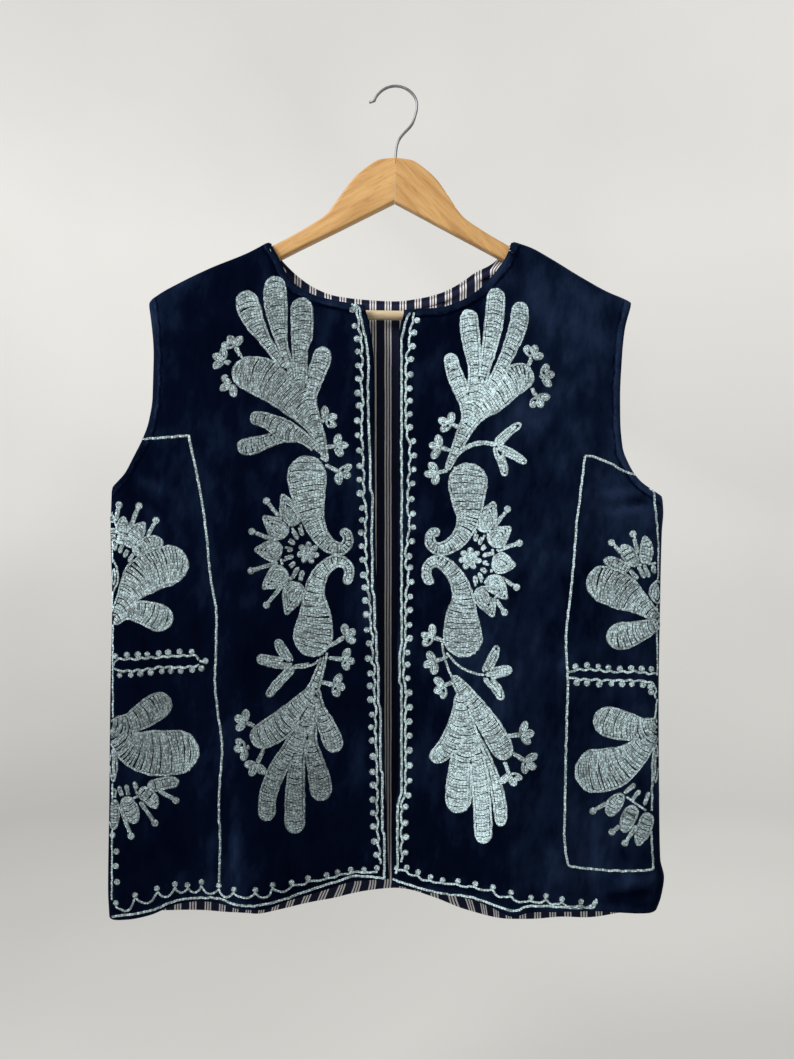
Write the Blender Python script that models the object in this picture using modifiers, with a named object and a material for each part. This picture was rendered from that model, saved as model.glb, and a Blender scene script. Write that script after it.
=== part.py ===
"""Embroidered velvet waistcoat, hung open on a flat wooden hanger.

Metres, +Z up. The fronts face -Y and the wearer's right is at -X. The origin is the inside
of the hook's crest, where the hanger is held up.

Each cloth panel is a grid between its cut edges. Across it runs from the front edge (or from
side to side on the back), and down it runs from the shoulder seam to the hem. The cloth rounds
over the hanger at the shoulder seam and round the garment's side at the side seam.
"""

import math
from collections import namedtuple

import bmesh
import bpy
from mathutils import Matrix, Vector

COLLECTION = "embroidered_waistcoat"

# Cloth walls
VELVET_WALL = 0.0015
LINING_WALL = 0.0010
GAP = 0.0003
LAYER_GAP = 0.0006  # between the velvet and its lining
STRIP = 0.0010  # cloth beside a seam that lies square to it
FREE_START = 0.35  # share of the full depth from which an edge counts as free

# How the cloth rounds over the hanger and round the sides
CAP_HEIGHT = 0.0120  # drop over which the cloth turns down from the shoulder seam
SIDE_ROUND = 0.050  # share of a panel's width that rounds towards the side seam
ARM_LIFT = math.radians(65)  # how far round the side an armhole's edge is cut
ARM_OPENING = 0.055  # height over which that cut opens above the underarm
NECK_RISE = 0.53  # the hanger's slope inside the shoulder seams

# Grid
CAP_ANGLES = (22, 45, 67, 90)
SIDE_ANGLES = (90, 62, 35)
SHOULDER_COLUMNS = 5
ARMHOLE_ROWS = 7
# Share of the height from the underarm down to the hem corner, closer by the hem
SIDE_LEVELS = (0.14, 0.29, 0.44, 0.59, 0.73, 0.85, 0.92, 0.965, 1.0)
# Share of the neck's width between a shoulder seam and the front corner or centre back
NECK_SHARES = (0.025, 0.06, 0.125, 0.25, 0.44, 0.70, 1.0)

# Hanger
ARM_THICKNESS = 0.012
ARM_EASING = 0.0025
HANGER_TILT = math.radians(0.9)
HANGER_APEX = -0.0717
WIRE_RADIUS = 0.0014
HOOK_RADIUS = 0.0225
STEM_DEPTH = 0.014
STEM_CLEARANCE = 0.0003
BAR_RADIUS = 0.00475
BAR_HEIGHT = -0.2280
BAR_LENGTH = 0.3490
TENON_RADIUS = 0.0030
TENON_LENGTH = 0.0150

Spot = namedtuple("Spot", "across height")
Edge = namedtuple("Edge", "height across")
Depth = namedtuple("Depth", "height edge middle side")
Fold = namedtuple("Fold", "across lean width top bottom out")
Front = namedtuple("Front", "name shoulder neck edge armhole side hem folds")


def rows(kind, *lines):
    """Return a short table as a list of named rows."""
    return [kind(*line) for line in lines]


RIGHT_FRONT = Front(
    name="right_front",
    shoulder=rows(
        Spot,
        (-0.2455, -0.2155),
        (-0.2405, -0.2105),
        (-0.2125, -0.1945),
        (-0.1830, -0.1805),
        (-0.1475, -0.1661),
        (-0.1265, -0.1550),
    ),
    neck=rows(
        Spot,
        (-0.1265, -0.1550),
        (-0.1144, -0.1746),
        (-0.1065, -0.1910),
        (-0.0947, -0.2027),
        (-0.0754, -0.2118),
        (-0.0399, -0.2189),
        (-0.0300, -0.2199),
    ),
    edge=rows(
        Edge,
        (-0.2199, -0.0300),
        (-0.2467, -0.0244),
        (-0.2732, -0.0214),
        (-0.3442, -0.0206),
        (-0.4720, -0.0191),
        (-0.6093, -0.0123),
        (-0.7074, -0.0093),
        (-0.7858, -0.0064),
    ),
    armhole=rows(
        Edge,
        (-0.2155, -0.2455),
        (-0.2296, -0.2430),
        (-0.2722, -0.2396),
        (-0.3118, -0.2400),
        (-0.3356, -0.2437),
        (-0.3519, -0.2495),
        (-0.3726, -0.2609),
        (-0.3900, -0.2712),
        (-0.4015, -0.2830),
    ),
    side=rows(
        Edge,
        (-0.4015, -0.2830),
        (-0.4425, -0.2841),
        (-0.5125, -0.2826),
        (-0.6125, -0.2845),
        (-0.7125, -0.2855),
        (-0.8000, -0.2868),
        (-0.8285, -0.2855),
    ),
    hem=rows(
        Spot,
        (-0.2855, -0.8285),
        (-0.2428, -0.8217),
        (-0.2135, -0.8113),
        (-0.1800, -0.8085),
        (-0.1500, -0.8120),
        (-0.1300, -0.8120),
        (-0.1052, -0.8057),
        (-0.0674, -0.7957),
        (-0.0380, -0.7885),
        (-0.0064, -0.7858),
    ),
    folds=rows(
        Fold,
        (-0.200, 0.02, 0.024, -0.52, -0.80, -0.0060),
        (-0.133, -0.03, 0.026, -0.55, -0.80, 0.0065),
        (-0.045, 0.00, 0.022, -0.60, -0.80, -0.0040),
        (-0.175, -0.06, 0.022, -0.22, -0.36, 0.0030),
        (-0.258, 0.00, 0.014, -0.50, -0.78, 0.0025),
    ),
)

LEFT_FRONT = Front(
    name="left_front",
    shoulder=rows(
        Spot,
        (0.1170, -0.1545),
        (0.1345, -0.1605),
        (0.1545, -0.1715),
        (0.1822, -0.1885),
        (0.2119, -0.2050),
        (0.2275, -0.2115),
        (0.2352, -0.2155),
    ),
    neck=rows(
        Spot,
        (0.0081, -0.2251),
        (0.0208, -0.2241),
        (0.0428, -0.2228),
        (0.0626, -0.2167),
        (0.0824, -0.2047),
        (0.0941, -0.1928),
        (0.1060, -0.1777),
        (0.1170, -0.1545),
    ),
    edge=rows(
        Edge,
        (-0.2251, 0.0081),
        (-0.2526, 0.0032),
        (-0.3700, 0.0029),
        (-0.5259, 0.0025),
        (-0.5700, 0.0012),
        (-0.6877, 0.0031),
        (-0.7180, -0.0010),
        (-0.7486, -0.0007),
        (-0.7907, -0.0036),
    ),
    armhole=rows(
        Edge,
        (-0.2155, 0.2352),
        (-0.2237, 0.2328),
        (-0.2452, 0.2272),
        (-0.2722, 0.2242),
        (-0.3118, 0.2223),
        (-0.3353, 0.2223),
        (-0.3603, 0.2242),
        (-0.3780, 0.2316),
        (-0.3958, 0.2450),
        (-0.4095, 0.2662),
    ),
    side=rows(
        Edge,
        (-0.4095, 0.2662),
        (-0.4251, 0.2672),
        (-0.4445, 0.2657),
        (-0.5125, 0.2640),
        (-0.6125, 0.2625),
        (-0.7325, 0.2633),
        (-0.7700, 0.2642),
        (-0.7880, 0.2680),
        (-0.8060, 0.2653),
        (-0.8205, 0.2602),
    ),
    hem=rows(
        Spot,
        (-0.0036, -0.7907),
        (0.0368, -0.7999),
        (0.0623, -0.8030),
        (0.0905, -0.8102),
        (0.1157, -0.8190),
        (0.1296, -0.8160),
        (0.1614, -0.8162),
        (0.1973, -0.8190),
        (0.2421, -0.8190),
        (0.2602, -0.8205),
    ),
    folds=rows(
        Fold,
        (0.112, 0.02, 0.022, -0.50, -0.80, 0.0075),
        (0.196, 0.00, 0.018, -0.62, -0.80, -0.0050),
        (0.050, 0.00, 0.024, -0.60, -0.80, -0.0030),
        (0.142, 0.05, 0.014, -0.19, -0.24, -0.0008),
        (0.180, 0.06, 0.024, -0.23, -0.38, 0.0035),
        (0.240, 0.00, 0.014, -0.66, -0.80, 0.0030),
    ),
)

BACK_NECK = rows(
    Spot,
    (-0.1265, -0.1550),
    (-0.1108, -0.1739),
    (-0.0968, -0.1870),
    (-0.0794, -0.1984),
    (-0.0602, -0.2052),
    (-0.0311, -0.2088),
    (0.0000, -0.2104),
    (0.0268, -0.2071),
    (0.0460, -0.2022),
    (0.0652, -0.1926),
    (0.0810, -0.1814),
    (0.0961, -0.1739),
    (0.1170, -0.1545),
)
BACK_HEM = rows(
    Spot,
    (-0.2855, -0.8285),
    (-0.2192, -0.8275),
    (-0.1656, -0.8322),
    (-0.1433, -0.8324),
    (-0.1190, -0.8273),
    (-0.0694, -0.8151),
    (-0.0056, -0.8060),
    (0.0380, -0.8151),
    (0.0714, -0.8273),
    (0.1180, -0.8388),
    (0.1666, -0.8354),
    (0.2294, -0.8293),
    (0.2602, -0.8205),
)
BACK_FOLDS = rows(
    Fold,
    (-0.165, 0.03, 0.030, -0.45, -0.80, 0.0055),
    (-0.070, -0.02, 0.026, -0.58, -0.80, -0.0035),
    (0.020, 0.02, 0.030, -0.50, -0.80, 0.0045),
    (0.118, -0.02, 0.030, -0.42, -0.80, 0.0060),
    (0.195, 0.00, 0.022, -0.60, -0.80, -0.0040),
    (-0.215, -0.05, 0.020, -0.24, -0.38, 0.0030),
    (0.190, 0.05, 0.020, -0.24, -0.38, 0.0030),
)

FRONT_DEPTHS = rows(
    Depth,
    (-0.150, 0.0122, 0.0122, 0.0115),
    (-0.240, 0.0130, 0.0145, 0.0120),
    (-0.400, 0.0165, 0.0205, 0.0150),
    (-0.600, 0.0180, 0.0220, 0.0155),
    (-0.840, 0.0165, 0.0190, 0.0140),
)
BACK_DEPTHS = rows(
    Depth,
    (-0.150, 0.0120, 0.0120, 0.0115),
    (-0.240, 0.0122, 0.0130, 0.0118),
    (-0.400, 0.0145, 0.0165, 0.0145),
    (-0.600, 0.0150, 0.0170, 0.0150),
    (-0.840, 0.0135, 0.0145, 0.0135),
)

# Hanger outline from the apex to the arm's tip and back to the notch below the hook
ARM_TOP = rows(
    Spot,
    (0.0000, -0.0717),
    (0.0150, -0.0735),
    (0.0300, -0.0825),
    (0.0425, -0.0940),
    (0.0545, -0.1105),
    (0.0690, -0.1300),
    (0.0785, -0.1370),
    (0.1215, -0.1616),
    (0.1500, -0.1750),
    (0.1830, -0.1905),
    (0.2000, -0.1995),
    (0.2090, -0.2070),
    (0.2130, -0.2180),
)
ARM_BOTTOM = rows(
    Spot,
    (0.2130, -0.2180),
    (0.2105, -0.2300),
    (0.2010, -0.2370),
    (0.1900, -0.2360),
    (0.1830, -0.2280),
    (0.1720, -0.2130),
    (0.1500, -0.1950),
    (0.1130, -0.1740),
    (0.0550, -0.1440),
    (0.0000, -0.1155),
)
HOOK_ROUTE = rows(
    Spot,
    (-0.0262, -0.0150),
    (-0.0215, -0.0120),
    (0.0215, -0.0225),
    (0.0165, -0.0385),
    (0.0065, -0.0470),
    (0.0020, -0.0550),
    (0.0000, -0.0705),
)

VELVET = ("velvet", (0.006, 0.012, 0.045), 0.85, 0.0)
LINING = ("striped_lining", (0.030, 0.040, 0.110), 0.75, 0.0)
WOOD = ("beech", (0.680, 0.420, 0.190), 0.45, 0.0)
BAR_WOOD = ("pale_dowel", (0.700, 0.600, 0.360), 0.50, 0.0)
STEEL = ("steel_wire", (0.620, 0.630, 0.640), 0.25, 1.0)


def smooth_through(places, values):
    """Return a smooth curve through the values, which never overshoots them."""
    if places[0] > places[-1]:
        places = places[::-1]
        values = values[::-1]
    steps = [b - a for a, b in zip(places, places[1:])]
    slopes = [(b - a) / step for a, b, step in zip(values, values[1:], steps)]
    tangents = [slopes[0]]
    for before, after in zip(slopes, slopes[1:]):
        tangents.append(2 * before * after / (before + after) if before * after > 0 else 0.0)
    tangents.append(slopes[-1])

    def at(place):
        place = min(max(place, places[0]), places[-1])
        k = next(k for k in range(len(steps)) if place <= places[k + 1])
        step = steps[k]
        t = (place - places[k]) / step
        return (
            values[k] * (1 + 2 * t) * (1 - t) ** 2
            + tangents[k] * step * t * (1 - t) ** 2
            + values[k + 1] * t * t * (3 - 2 * t)
            - tangents[k + 1] * step * t * t * (1 - t)
        )

    return at


def height_curve(spots):
    """Return height as a smooth function of the place across."""
    return smooth_through([s.across for s in spots], [s.height for s in spots])


def across_curve(edges):
    """Return the place across as a smooth function of height."""
    return smooth_through([e.height for e in edges], [e.across for e in edges])


def depth_curves(table):
    """Return the depths at the edge, middle and side as functions of height."""
    heights = [d.height for d in table]
    return [smooth_through(heights, [d[k] for d in table]) for k in (1, 2, 3)]


def mix(a, b, share):
    return a + (b - a) * share


def ease(t):
    t = min(max(t, 0.0), 1.0)
    return t * t * (3 - 2 * t)


def swell(depths, folds, share, x, z):
    """Return how far the cloth stands from the garment's middle plane."""
    edge, middle, side = (depth(z) for depth in depths)
    depth = edge * (1 - share) * (1 - 2 * share) + middle * 4 * share * (1 - share)
    depth += side * share * (2 * share - 1)
    for fold in folds:
        centre = fold.across + fold.lean * (z - fold.bottom)
        swing = ease((fold.top - z) / (fold.top - fold.bottom))
        depth += fold.out * swing * math.exp(-(((x - centre) / fold.width) ** 2))
    return depth


class Side:
    """One side of the garment: its outer edge from the shoulder tip to the hem corner."""

    def __init__(self, front):
        self.tip = front.armhole[0]
        self.underarm = front.side[0].height
        self.corner = front.side[-1]
        self.armhole = across_curve(front.armhole)
        self.seam = across_curve(front.side)
        drops = [CAP_HEIGHT * (1 - math.cos(math.radians(a))) for a in (0, 0) + CAP_ANGLES]
        heights = [self.tip.height - drop for drop in drops]
        start = heights[-1]
        for k in range(1, ARMHOLE_ROWS + 1):
            heights.append(mix(start, self.underarm, (k / ARMHOLE_ROWS) ** 0.85))
        heights += [mix(self.underarm, self.corner.height, level) for level in SIDE_LEVELS]
        self.heights = heights

    def across(self, height):
        return self.armhole(height) if height > self.underarm else self.seam(height)

    def cut_angle(self, height):
        """Return how far round from the side fold the edge is cut: 0 at the side seam."""
        return ARM_LIFT * ease((height - self.underarm) / ARM_OPENING)

    def shares(self):
        """Return each row's share of the way down."""
        return [(h - self.tip.height) / (self.corner.height - self.tip.height) for h in self.heights]

    def slacks(self):
        """Return how much lower each row lies below a free edge, which has evenly spaced rows."""
        count = len(CAP_ANGLES) + 1
        slacks = [0.0] * len(self.heights)
        for row in range(1, count):
            even = CAP_HEIGHT * row / count
            slacks[row] = even - (self.tip.height - self.heights[row])
        return slacks


def free_share(start):
    """Return 0 at an edge sewn at the fold, rising to 1 at an edge cut clear of it."""
    return ease(start / FREE_START)


def around_side(cut, share_from_side):
    """Return the share of the full depth at a place near the side."""
    return math.sqrt(1 - max(0.0, math.cos(cut) - share_from_side / SIDE_ROUND) ** 2)


def side_columns(cut):
    """Return each rounding column's share of the width from the side, and its strip."""
    columns = []
    for angle in SIDE_ANGLES:
        turned = cut + (math.pi / 2 - cut) * angle / 90
        columns.append((SIDE_ROUND * (math.cos(cut) - math.cos(turned)), 0.0))
    free = free_share(math.sin(cut))
    columns.append((columns[-1][0] * free / 2, STRIP * (1 - free)))
    columns.append((0.0, 0.0))
    return columns


def over_hanger(drop):
    """Return the share of the full depth at a drop below the shoulder line."""
    return math.sqrt(1 - min(max(1 - drop / CAP_HEIGHT, 0.0), 1.0) ** 2)


def place_point(x, z, depth, cap, cap_strip, side_strip, facing):
    """Return a point on the cloth's outer surface."""
    y = GAP / 2 + depth + cap_strip + side_strip * cap
    return (x, facing * y, z)


def front_grid(front):
    """Return rows of points on a front's outer surface, from the front edge to the side."""
    side = Side(front)
    neck = height_curve(front.neck)
    shoulder = height_curve(front.shoulder)
    edge = across_curve(front.edge)
    hem = height_curve(front.hem)
    depths = depth_curves(FRONT_DEPTHS)
    corner_top = front.edge[0]
    corner_bottom = front.edge[-1]
    seam_end = min(front.shoulder, key=lambda spot: abs(spot.across))
    width_top = side.tip.across - corner_top.across
    width_bottom = side.corner.across - corner_bottom.across
    turn = (seam_end.across - corner_top.across) / width_top
    plain = 1 - SIDE_ROUND * 1.1
    tops = [turn * (1 - share) for share in reversed(NECK_SHARES)] + [turn]
    tops += [mix(turn, plain, k / SHOULDER_COLUMNS) for k in range(1, SHOULDER_COLUMNS + 1)]
    bottoms = [plain * k / (len(tops) - 1) for k in range(len(tops))]

    def shoulder_line(x):
        inside = abs(seam_end.across) - abs(x)
        return shoulder(x) if inside <= 0 else seam_end.height + NECK_RISE * inside

    def top(x):
        return neck(x) if abs(x) < abs(seam_end.across) - 1e-9 else shoulder(x)

    grid = []
    for row, (height, down, slack) in enumerate(zip(side.heights, side.shares(), side.slacks())):
        outer = side.across(height)
        inner = edge(mix(corner_top.height, corner_bottom.height, down))
        cut = side.cut_angle(height)
        columns = [(mix(t, b, down), t, b, 0.0) for t, b in zip(tops, bottoms)]
        for share, strip in side_columns(cut):
            columns.append((1 - share, 1 - share, 1 - share, strip))
        line = []
        for across, across_top, across_bottom, side_strip in columns:
            x_top = corner_top.across + width_top * across_top
            z_top = top(x_top)
            z_bottom = hem(corner_bottom.across + width_bottom * across_bottom)
            x = mix(inner, outer, across)
            z = mix(z_top, z_bottom, down)
            free = free_share(over_hanger(shoulder_line(x_top) - z_top))
            z -= free * slack
            cap_strip = STRIP * (1 - free) if row == 1 else 0.0
            cap = over_hanger(shoulder_line(x) - z)
            round_off = around_side(cut, 1 - across)
            depth = swell(depths, front.folds, across, x, z) * cap * round_off
            line.append(place_point(x, z, depth, cap, cap_strip, side_strip, -1))
        grid.append(line)
    return grid


def back_grid():
    """Return rows of points on the back's outer surface, from the right side to the left."""
    right = Side(RIGHT_FRONT)
    left = Side(LEFT_FRONT)
    neck = height_curve(BACK_NECK)
    shoulders = (height_curve(RIGHT_FRONT.shoulder), height_curve(LEFT_FRONT.shoulder))
    hem = height_curve(BACK_HEM)
    depths = depth_curves(BACK_DEPTHS)
    neck_right = BACK_NECK[0]
    neck_left = BACK_NECK[-1]
    width_top = left.tip.across - right.tip.across
    width_bottom = left.corner.across - right.corner.across
    turns = [(end.across - right.tip.across) / width_top for end in (neck_right, neck_left)]
    middle = -right.tip.across / width_top
    round_share = SIDE_ROUND * 0.5
    plain = round_share * 1.1
    tops = [mix(plain, turns[0], k / SHOULDER_COLUMNS) for k in range(SHOULDER_COLUMNS)]
    tops += [turns[0]] + [mix(turns[0], middle, share) for share in NECK_SHARES]
    tops += [mix(turns[1], middle, share) for share in reversed(NECK_SHARES[:-1])] + [turns[1]]
    tops += [mix(turns[1], 1 - plain, (k + 1) / SHOULDER_COLUMNS) for k in range(SHOULDER_COLUMNS)]
    bottoms = [mix(plain, 1 - plain, k / (len(tops) - 1)) for k in range(len(tops))]

    def shoulder_line(x):
        end = neck_right if x < 0 else neck_left
        inside = abs(end.across) - abs(x)
        return shoulders[x > 0](x) if inside <= 0 else end.height + NECK_RISE * inside

    def top(x):
        inside = neck_right.across + 1e-9 < x < neck_left.across - 1e-9
        return neck(x) if inside else shoulders[x > 0](x)

    grid = []
    levels = zip(right.heights, left.heights, right.shares(), right.slacks())
    for row, (high_r, high_l, down, slack) in enumerate(levels):
        outer_r = right.across(high_r)
        outer_l = left.across(high_l)
        cuts = (right.cut_angle(high_r), left.cut_angle(high_l))
        ends = [[(share / 2, strip) for share, strip in side_columns(cut)] for cut in cuts]
        columns = [(share, share, share, strip) for share, strip in reversed(ends[0])]
        columns += [(mix(t, b, down), t, b, 0.0) for t, b in zip(tops, bottoms)]
        columns += [(1 - share, 1 - share, 1 - share, strip) for share, strip in ends[1]]
        line = []
        for across, across_top, across_bottom, side_strip in columns:
            x_top = right.tip.across + width_top * across_top
            z_top = top(x_top)
            z_bottom = hem(right.corner.across + width_bottom * across_bottom)
            x = mix(outer_r, outer_l, across)
            z = mix(z_top, z_bottom, down)
            free = free_share(over_hanger(shoulder_line(x_top) - z_top))
            z -= free * slack
            cap_strip = STRIP * (1 - free) if row == 1 else 0.0
            cap = over_hanger(shoulder_line(x) - z)
            round_off = around_side(cuts[0], across * 2) * around_side(cuts[1], (1 - across) * 2)
            depth = swell(depths, BACK_FOLDS, across, x, z) * cap * round_off
            line.append(place_point(x, z, depth, cap, cap_strip, side_strip, 1))
        grid.append(line)
    return grid


def make_material(finish):
    name, colour, roughness, metallic = finish
    material = bpy.data.materials.get(name)
    if material is None:
        material = bpy.data.materials.new(name)
        material.use_nodes = True
        shader = material.node_tree.nodes["Principled BSDF"]
        shader.inputs["Base Color"].default_value = (*colour, 1.0)
        shader.inputs["Roughness"].default_value = roughness
        shader.inputs["Metallic"].default_value = metallic
        material.diffuse_color = (*colour, 1.0)
    return material


def add_object(name, data, finish, collection):
    thing = bpy.data.objects.new(name, data)
    collection.objects.link(thing)
    data.materials.append(make_material(finish))
    return thing


def surface_mesh(name, grid, flip):
    """Return an open surface over the grid's points."""
    wide = len(grid[0])
    points = [point for line in grid for point in line]
    faces = []
    for r in range(len(grid) - 1):
        for c in range(wide - 1):
            a = r * wide + c
            for face in ((a, a + wide, a + wide + 1), (a, a + wide + 1, a + 1)):
                faces.append(face[::-1] if flip else face)
    mesh = bpy.data.meshes.new(name)
    mesh.from_pydata(points, [], faces)
    mesh.update()
    mesh.shade_smooth()
    return mesh


def add_wall(name, mesh, thickness, finish, collection):
    """Give an open surface its wall, inwards from the outer face."""
    thing = add_object(name, mesh, finish, collection)
    wall = thing.modifiers.new("wall", "SOLIDIFY")
    wall.thickness = thickness
    wall.offset = -1.0
    return thing


def add_panel(name, grid, flip, collection):
    """Make a velvet panel and, inside it, the lining made from the same points."""
    outer = surface_mesh(name, grid, flip)
    inner = outer.copy()
    depth = VELVET_WALL + LAYER_GAP
    moved = [vertex.co - depth * vertex.normal for vertex in outer.vertices]
    for vertex, place in zip(inner.vertices, moved):
        vertex.co = place
    add_wall(name, outer, VELVET_WALL, VELVET, collection)
    inner.name = f"{name}_lining"
    add_wall(inner.name, inner, LINING_WALL, LINING, collection)


def flat_outline(name, spots, thickness, easing):
    """Return a flat board's mesh from its outline, with eased edges."""
    curve = bpy.data.curves.new(name, "CURVE")
    curve.dimensions = "2D"
    curve.fill_mode = "BOTH"
    curve.extrude = thickness / 2 - easing
    curve.bevel_depth = easing
    curve.bevel_resolution = 1
    curve.offset = -easing
    spline = curve.splines.new("POLY")
    spline.points.add(len(spots) - 1)
    for point, spot in zip(spline.points, spots):
        point.co = (spot.across, spot.height, 0.0, 1.0)
    spline.use_cyclic_u = True
    return mesh_from_curve(curve)


def mesh_from_curve(curve):
    """Return a curve's mesh with its caps welded on."""
    thing = bpy.data.objects.new(curve.name, curve)
    bpy.context.scene.collection.objects.link(thing)
    graph = bpy.context.evaluated_depsgraph_get()
    mesh = bpy.data.meshes.new_from_object(thing.evaluated_get(graph))
    bpy.data.objects.remove(thing)
    shape = bmesh.new()
    shape.from_mesh(mesh)
    bmesh.ops.remove_doubles(shape, verts=shape.verts, dist=1e-6)
    bmesh.ops.recalc_face_normals(shape, faces=shape.faces)
    shape.to_mesh(mesh)
    shape.free()
    return mesh


def half_board(board, side):
    """Return the half of the board on one side of the mitre."""
    shape = bmesh.new()
    shape.from_mesh(board)
    cut = bmesh.ops.bisect_plane(
        shape,
        geom=shape.verts[:] + shape.edges[:] + shape.faces[:],
        plane_co=(side * GAP / 2, 0, 0),
        plane_no=(-side, 0, 0),
        clear_outer=True,
    )
    rim = [edge for edge in cut["geom_cut"] if isinstance(edge, bmesh.types.BMEdge)]
    bmesh.ops.contextual_create(shape, geom=rim)
    bmesh.ops.recalc_face_normals(shape, faces=shape.faces)
    half = bpy.data.meshes.new(board.name)
    shape.to_mesh(half)
    shape.free()
    half.transform(Matrix.Rotation(math.pi / 2, 4, "X"))
    half.set_sharp_from_angle(angle=math.radians(40))
    return half


def hanger_outline():
    """Return the hanger's outline: the left arm's curve and its mirror image."""
    top = height_curve(ARM_TOP[:-1])
    low = height_curve(ARM_BOTTOM[4:])
    end = ARM_TOP[-2].across
    count = 22
    upper = [Spot(end * k / count, top(end * k / count)) for k in range(count + 1)]
    heel = ARM_BOTTOM[4].across
    lower = [Spot(heel * k / 8, low(heel * k / 8)) for k in range(8, -1, -1)]
    left = upper + ARM_TOP[-1:] + ARM_BOTTOM[1:4] + lower
    right = [Spot(-s.across, s.height) for s in reversed(left[1:-1])]
    return left + right


def add_cutter(name, radius, length, place, turn, parent, cutters):
    """Make a drill for a bore, along local Z turned onto its axis."""
    mesh = bpy.data.meshes.new(name)
    shape = bmesh.new()
    bmesh.ops.create_cone(
        shape, cap_ends=True, segments=20, radius1=radius, radius2=radius, depth=length
    )
    shape.to_mesh(mesh)
    shape.free()
    drill = bpy.data.objects.new(name, mesh)
    drill.location = place
    drill.rotation_euler = turn
    drill.parent = parent
    drill.display_type = "WIRE"
    drill.hide_render = True
    cutters.objects.link(drill)
    return drill


def add_arms(parent, collection, cutters):
    """Make the hanger's two halves, mitred at the middle and bored for the hook and the bar."""
    board = flat_outline("hanger_arm", hanger_outline(), ARM_THICKNESS, ARM_EASING)
    stem = add_cutter(
        "stem_bore",
        WIRE_RADIUS + STEM_CLEARANCE,
        2 * (STEM_DEPTH + GAP),
        (0, 0, 0),
        (0, 0, 0),
        parent,
        cutters,
    )
    for name, side in (("hanger_arm_right", -1), ("hanger_arm_left", 1)):
        mesh = half_board(board, side)
        mesh.transform(Matrix.Translation((0, 0, -HANGER_APEX)))
        arm = add_object(name, mesh, WOOD, collection)
        arm.parent = parent
        socket = add_cutter(
            f"{name}_socket",
            TENON_RADIUS + GAP,
            2 * (TENON_LENGTH + GAP),
            (side * BAR_LENGTH / 2, 0, BAR_HEIGHT - HANGER_APEX),
            (0, math.pi / 2, 0),
            parent,
            cutters,
        )
        for drill in (stem, socket):
            bore = arm.modifiers.new(drill.name, "BOOLEAN")
            bore.operation = "DIFFERENCE"
            bore.solver = "EXACT"
            bore.object = drill
    bpy.data.meshes.remove(board)


def add_bar(parent, collection):
    """Turn the trouser bar, with a tenon at each end for the arm's socket."""
    half = BAR_LENGTH / 2
    profile = [
        (-half - TENON_LENGTH, 0.0),
        (-half - TENON_LENGTH, TENON_RADIUS),
        (-half - GAP, TENON_RADIUS),
        (-half - GAP, BAR_RADIUS),
        (half + GAP, BAR_RADIUS),
        (half + GAP, TENON_RADIUS),
        (half + TENON_LENGTH, TENON_RADIUS),
        (half + TENON_LENGTH, 0.0),
    ]
    mesh = bpy.data.meshes.new("trouser_bar")
    points = [(x, 0.0, radius) for x, radius in profile]
    mesh.from_pydata(points, [(k, k + 1) for k in range(len(points) - 1)], [])
    bar = add_object("trouser_bar", mesh, BAR_WOOD, collection)
    bar.parent = parent
    bar.location = (0, 0, BAR_HEIGHT - HANGER_APEX)
    turned = bar.modifiers.new("turned", "SCREW")
    turned.axis = "X"
    turned.steps = 20
    turned.render_steps = 20
    turned.use_merge_vertices = True
    turned.merge_threshold = 1e-5
    turned.use_normal_flip = True


def hook_points():
    """Return the wire's centre line from its tip over the crest to the end of the stem."""
    crest = WIRE_RADIUS
    centre = Vector((0.0, crest - HOOK_RADIUS))
    points = [Vector(HOOK_ROUTE[0])]
    for degrees in range(160, -1, -16):
        angle = math.radians(degrees)
        points.append(centre + HOOK_RADIUS * Vector((math.cos(angle), math.sin(angle))))
    heights = [spot.height for spot in HOOK_ROUTE[2:]]
    across = smooth_through(heights, [spot.across for spot in HOOK_ROUTE[2:]])
    for k in range(1, 11):
        height = mix(heights[0], heights[-1], k / 10)
        points.append(Vector((across(height), height)))
    depth = STEM_DEPTH - GAP
    points.append(Vector((-depth * math.sin(HANGER_TILT), HANGER_APEX - depth)))
    return points


def add_hook(collection):
    """Bend the hook from one wire."""
    curve = bpy.data.curves.new("hook_wire", "CURVE")
    curve.dimensions = "3D"
    curve.bevel_depth = WIRE_RADIUS
    curve.bevel_resolution = 2
    curve.use_fill_caps = True
    points = hook_points()
    spline = curve.splines.new("POLY")
    spline.points.add(len(points) - 1)
    for point, place in zip(spline.points, points):
        point.co = (place.x, 0.0, place.y, 1.0)
    add_object("hook_wire", curve, STEEL, collection)


def add_hanger(collection, cutters):
    """Make the hanger. Its wood hangs slightly askew on the hook."""
    pivot = bpy.data.objects.new("hanger_tilt", None)
    pivot.location = (0, 0, HANGER_APEX)
    pivot.rotation_euler = (0, HANGER_TILT, 0)
    collection.objects.link(pivot)
    add_arms(pivot, collection, cutters)
    add_bar(pivot, collection)
    add_hook(collection)


def new_collection(name):
    collection = bpy.data.collections.new(name)
    bpy.context.scene.collection.children.link(collection)
    return collection


def main():
    for thing in list(bpy.data.objects):
        bpy.data.objects.remove(thing, do_unlink=True)
    collection = new_collection(COLLECTION)
    cutters = new_collection("cutters")
    add_panel("right_front", front_grid(RIGHT_FRONT), True, collection)
    add_panel("left_front", front_grid(LEFT_FRONT), False, collection)
    add_panel("back", back_grid(), True, collection)
    add_hanger(collection, cutters)


main()
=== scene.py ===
"""Looks of the embroidered velvet waistcoat on its wooden hanger.

The cloth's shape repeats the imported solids' shape on a finer grid. Embroidery is worked stitch
by stitch: its places are given in picture columns and rows, and each stitch is laid on the
cloth behind its place. Seeds are fixed, so every run gives the same stitches.
"""

import math
from collections import namedtuple

import bmesh
import bpy
import numpy as np
from mathutils import Matrix, Vector
from mathutils.bvhtree import BVHTree


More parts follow.
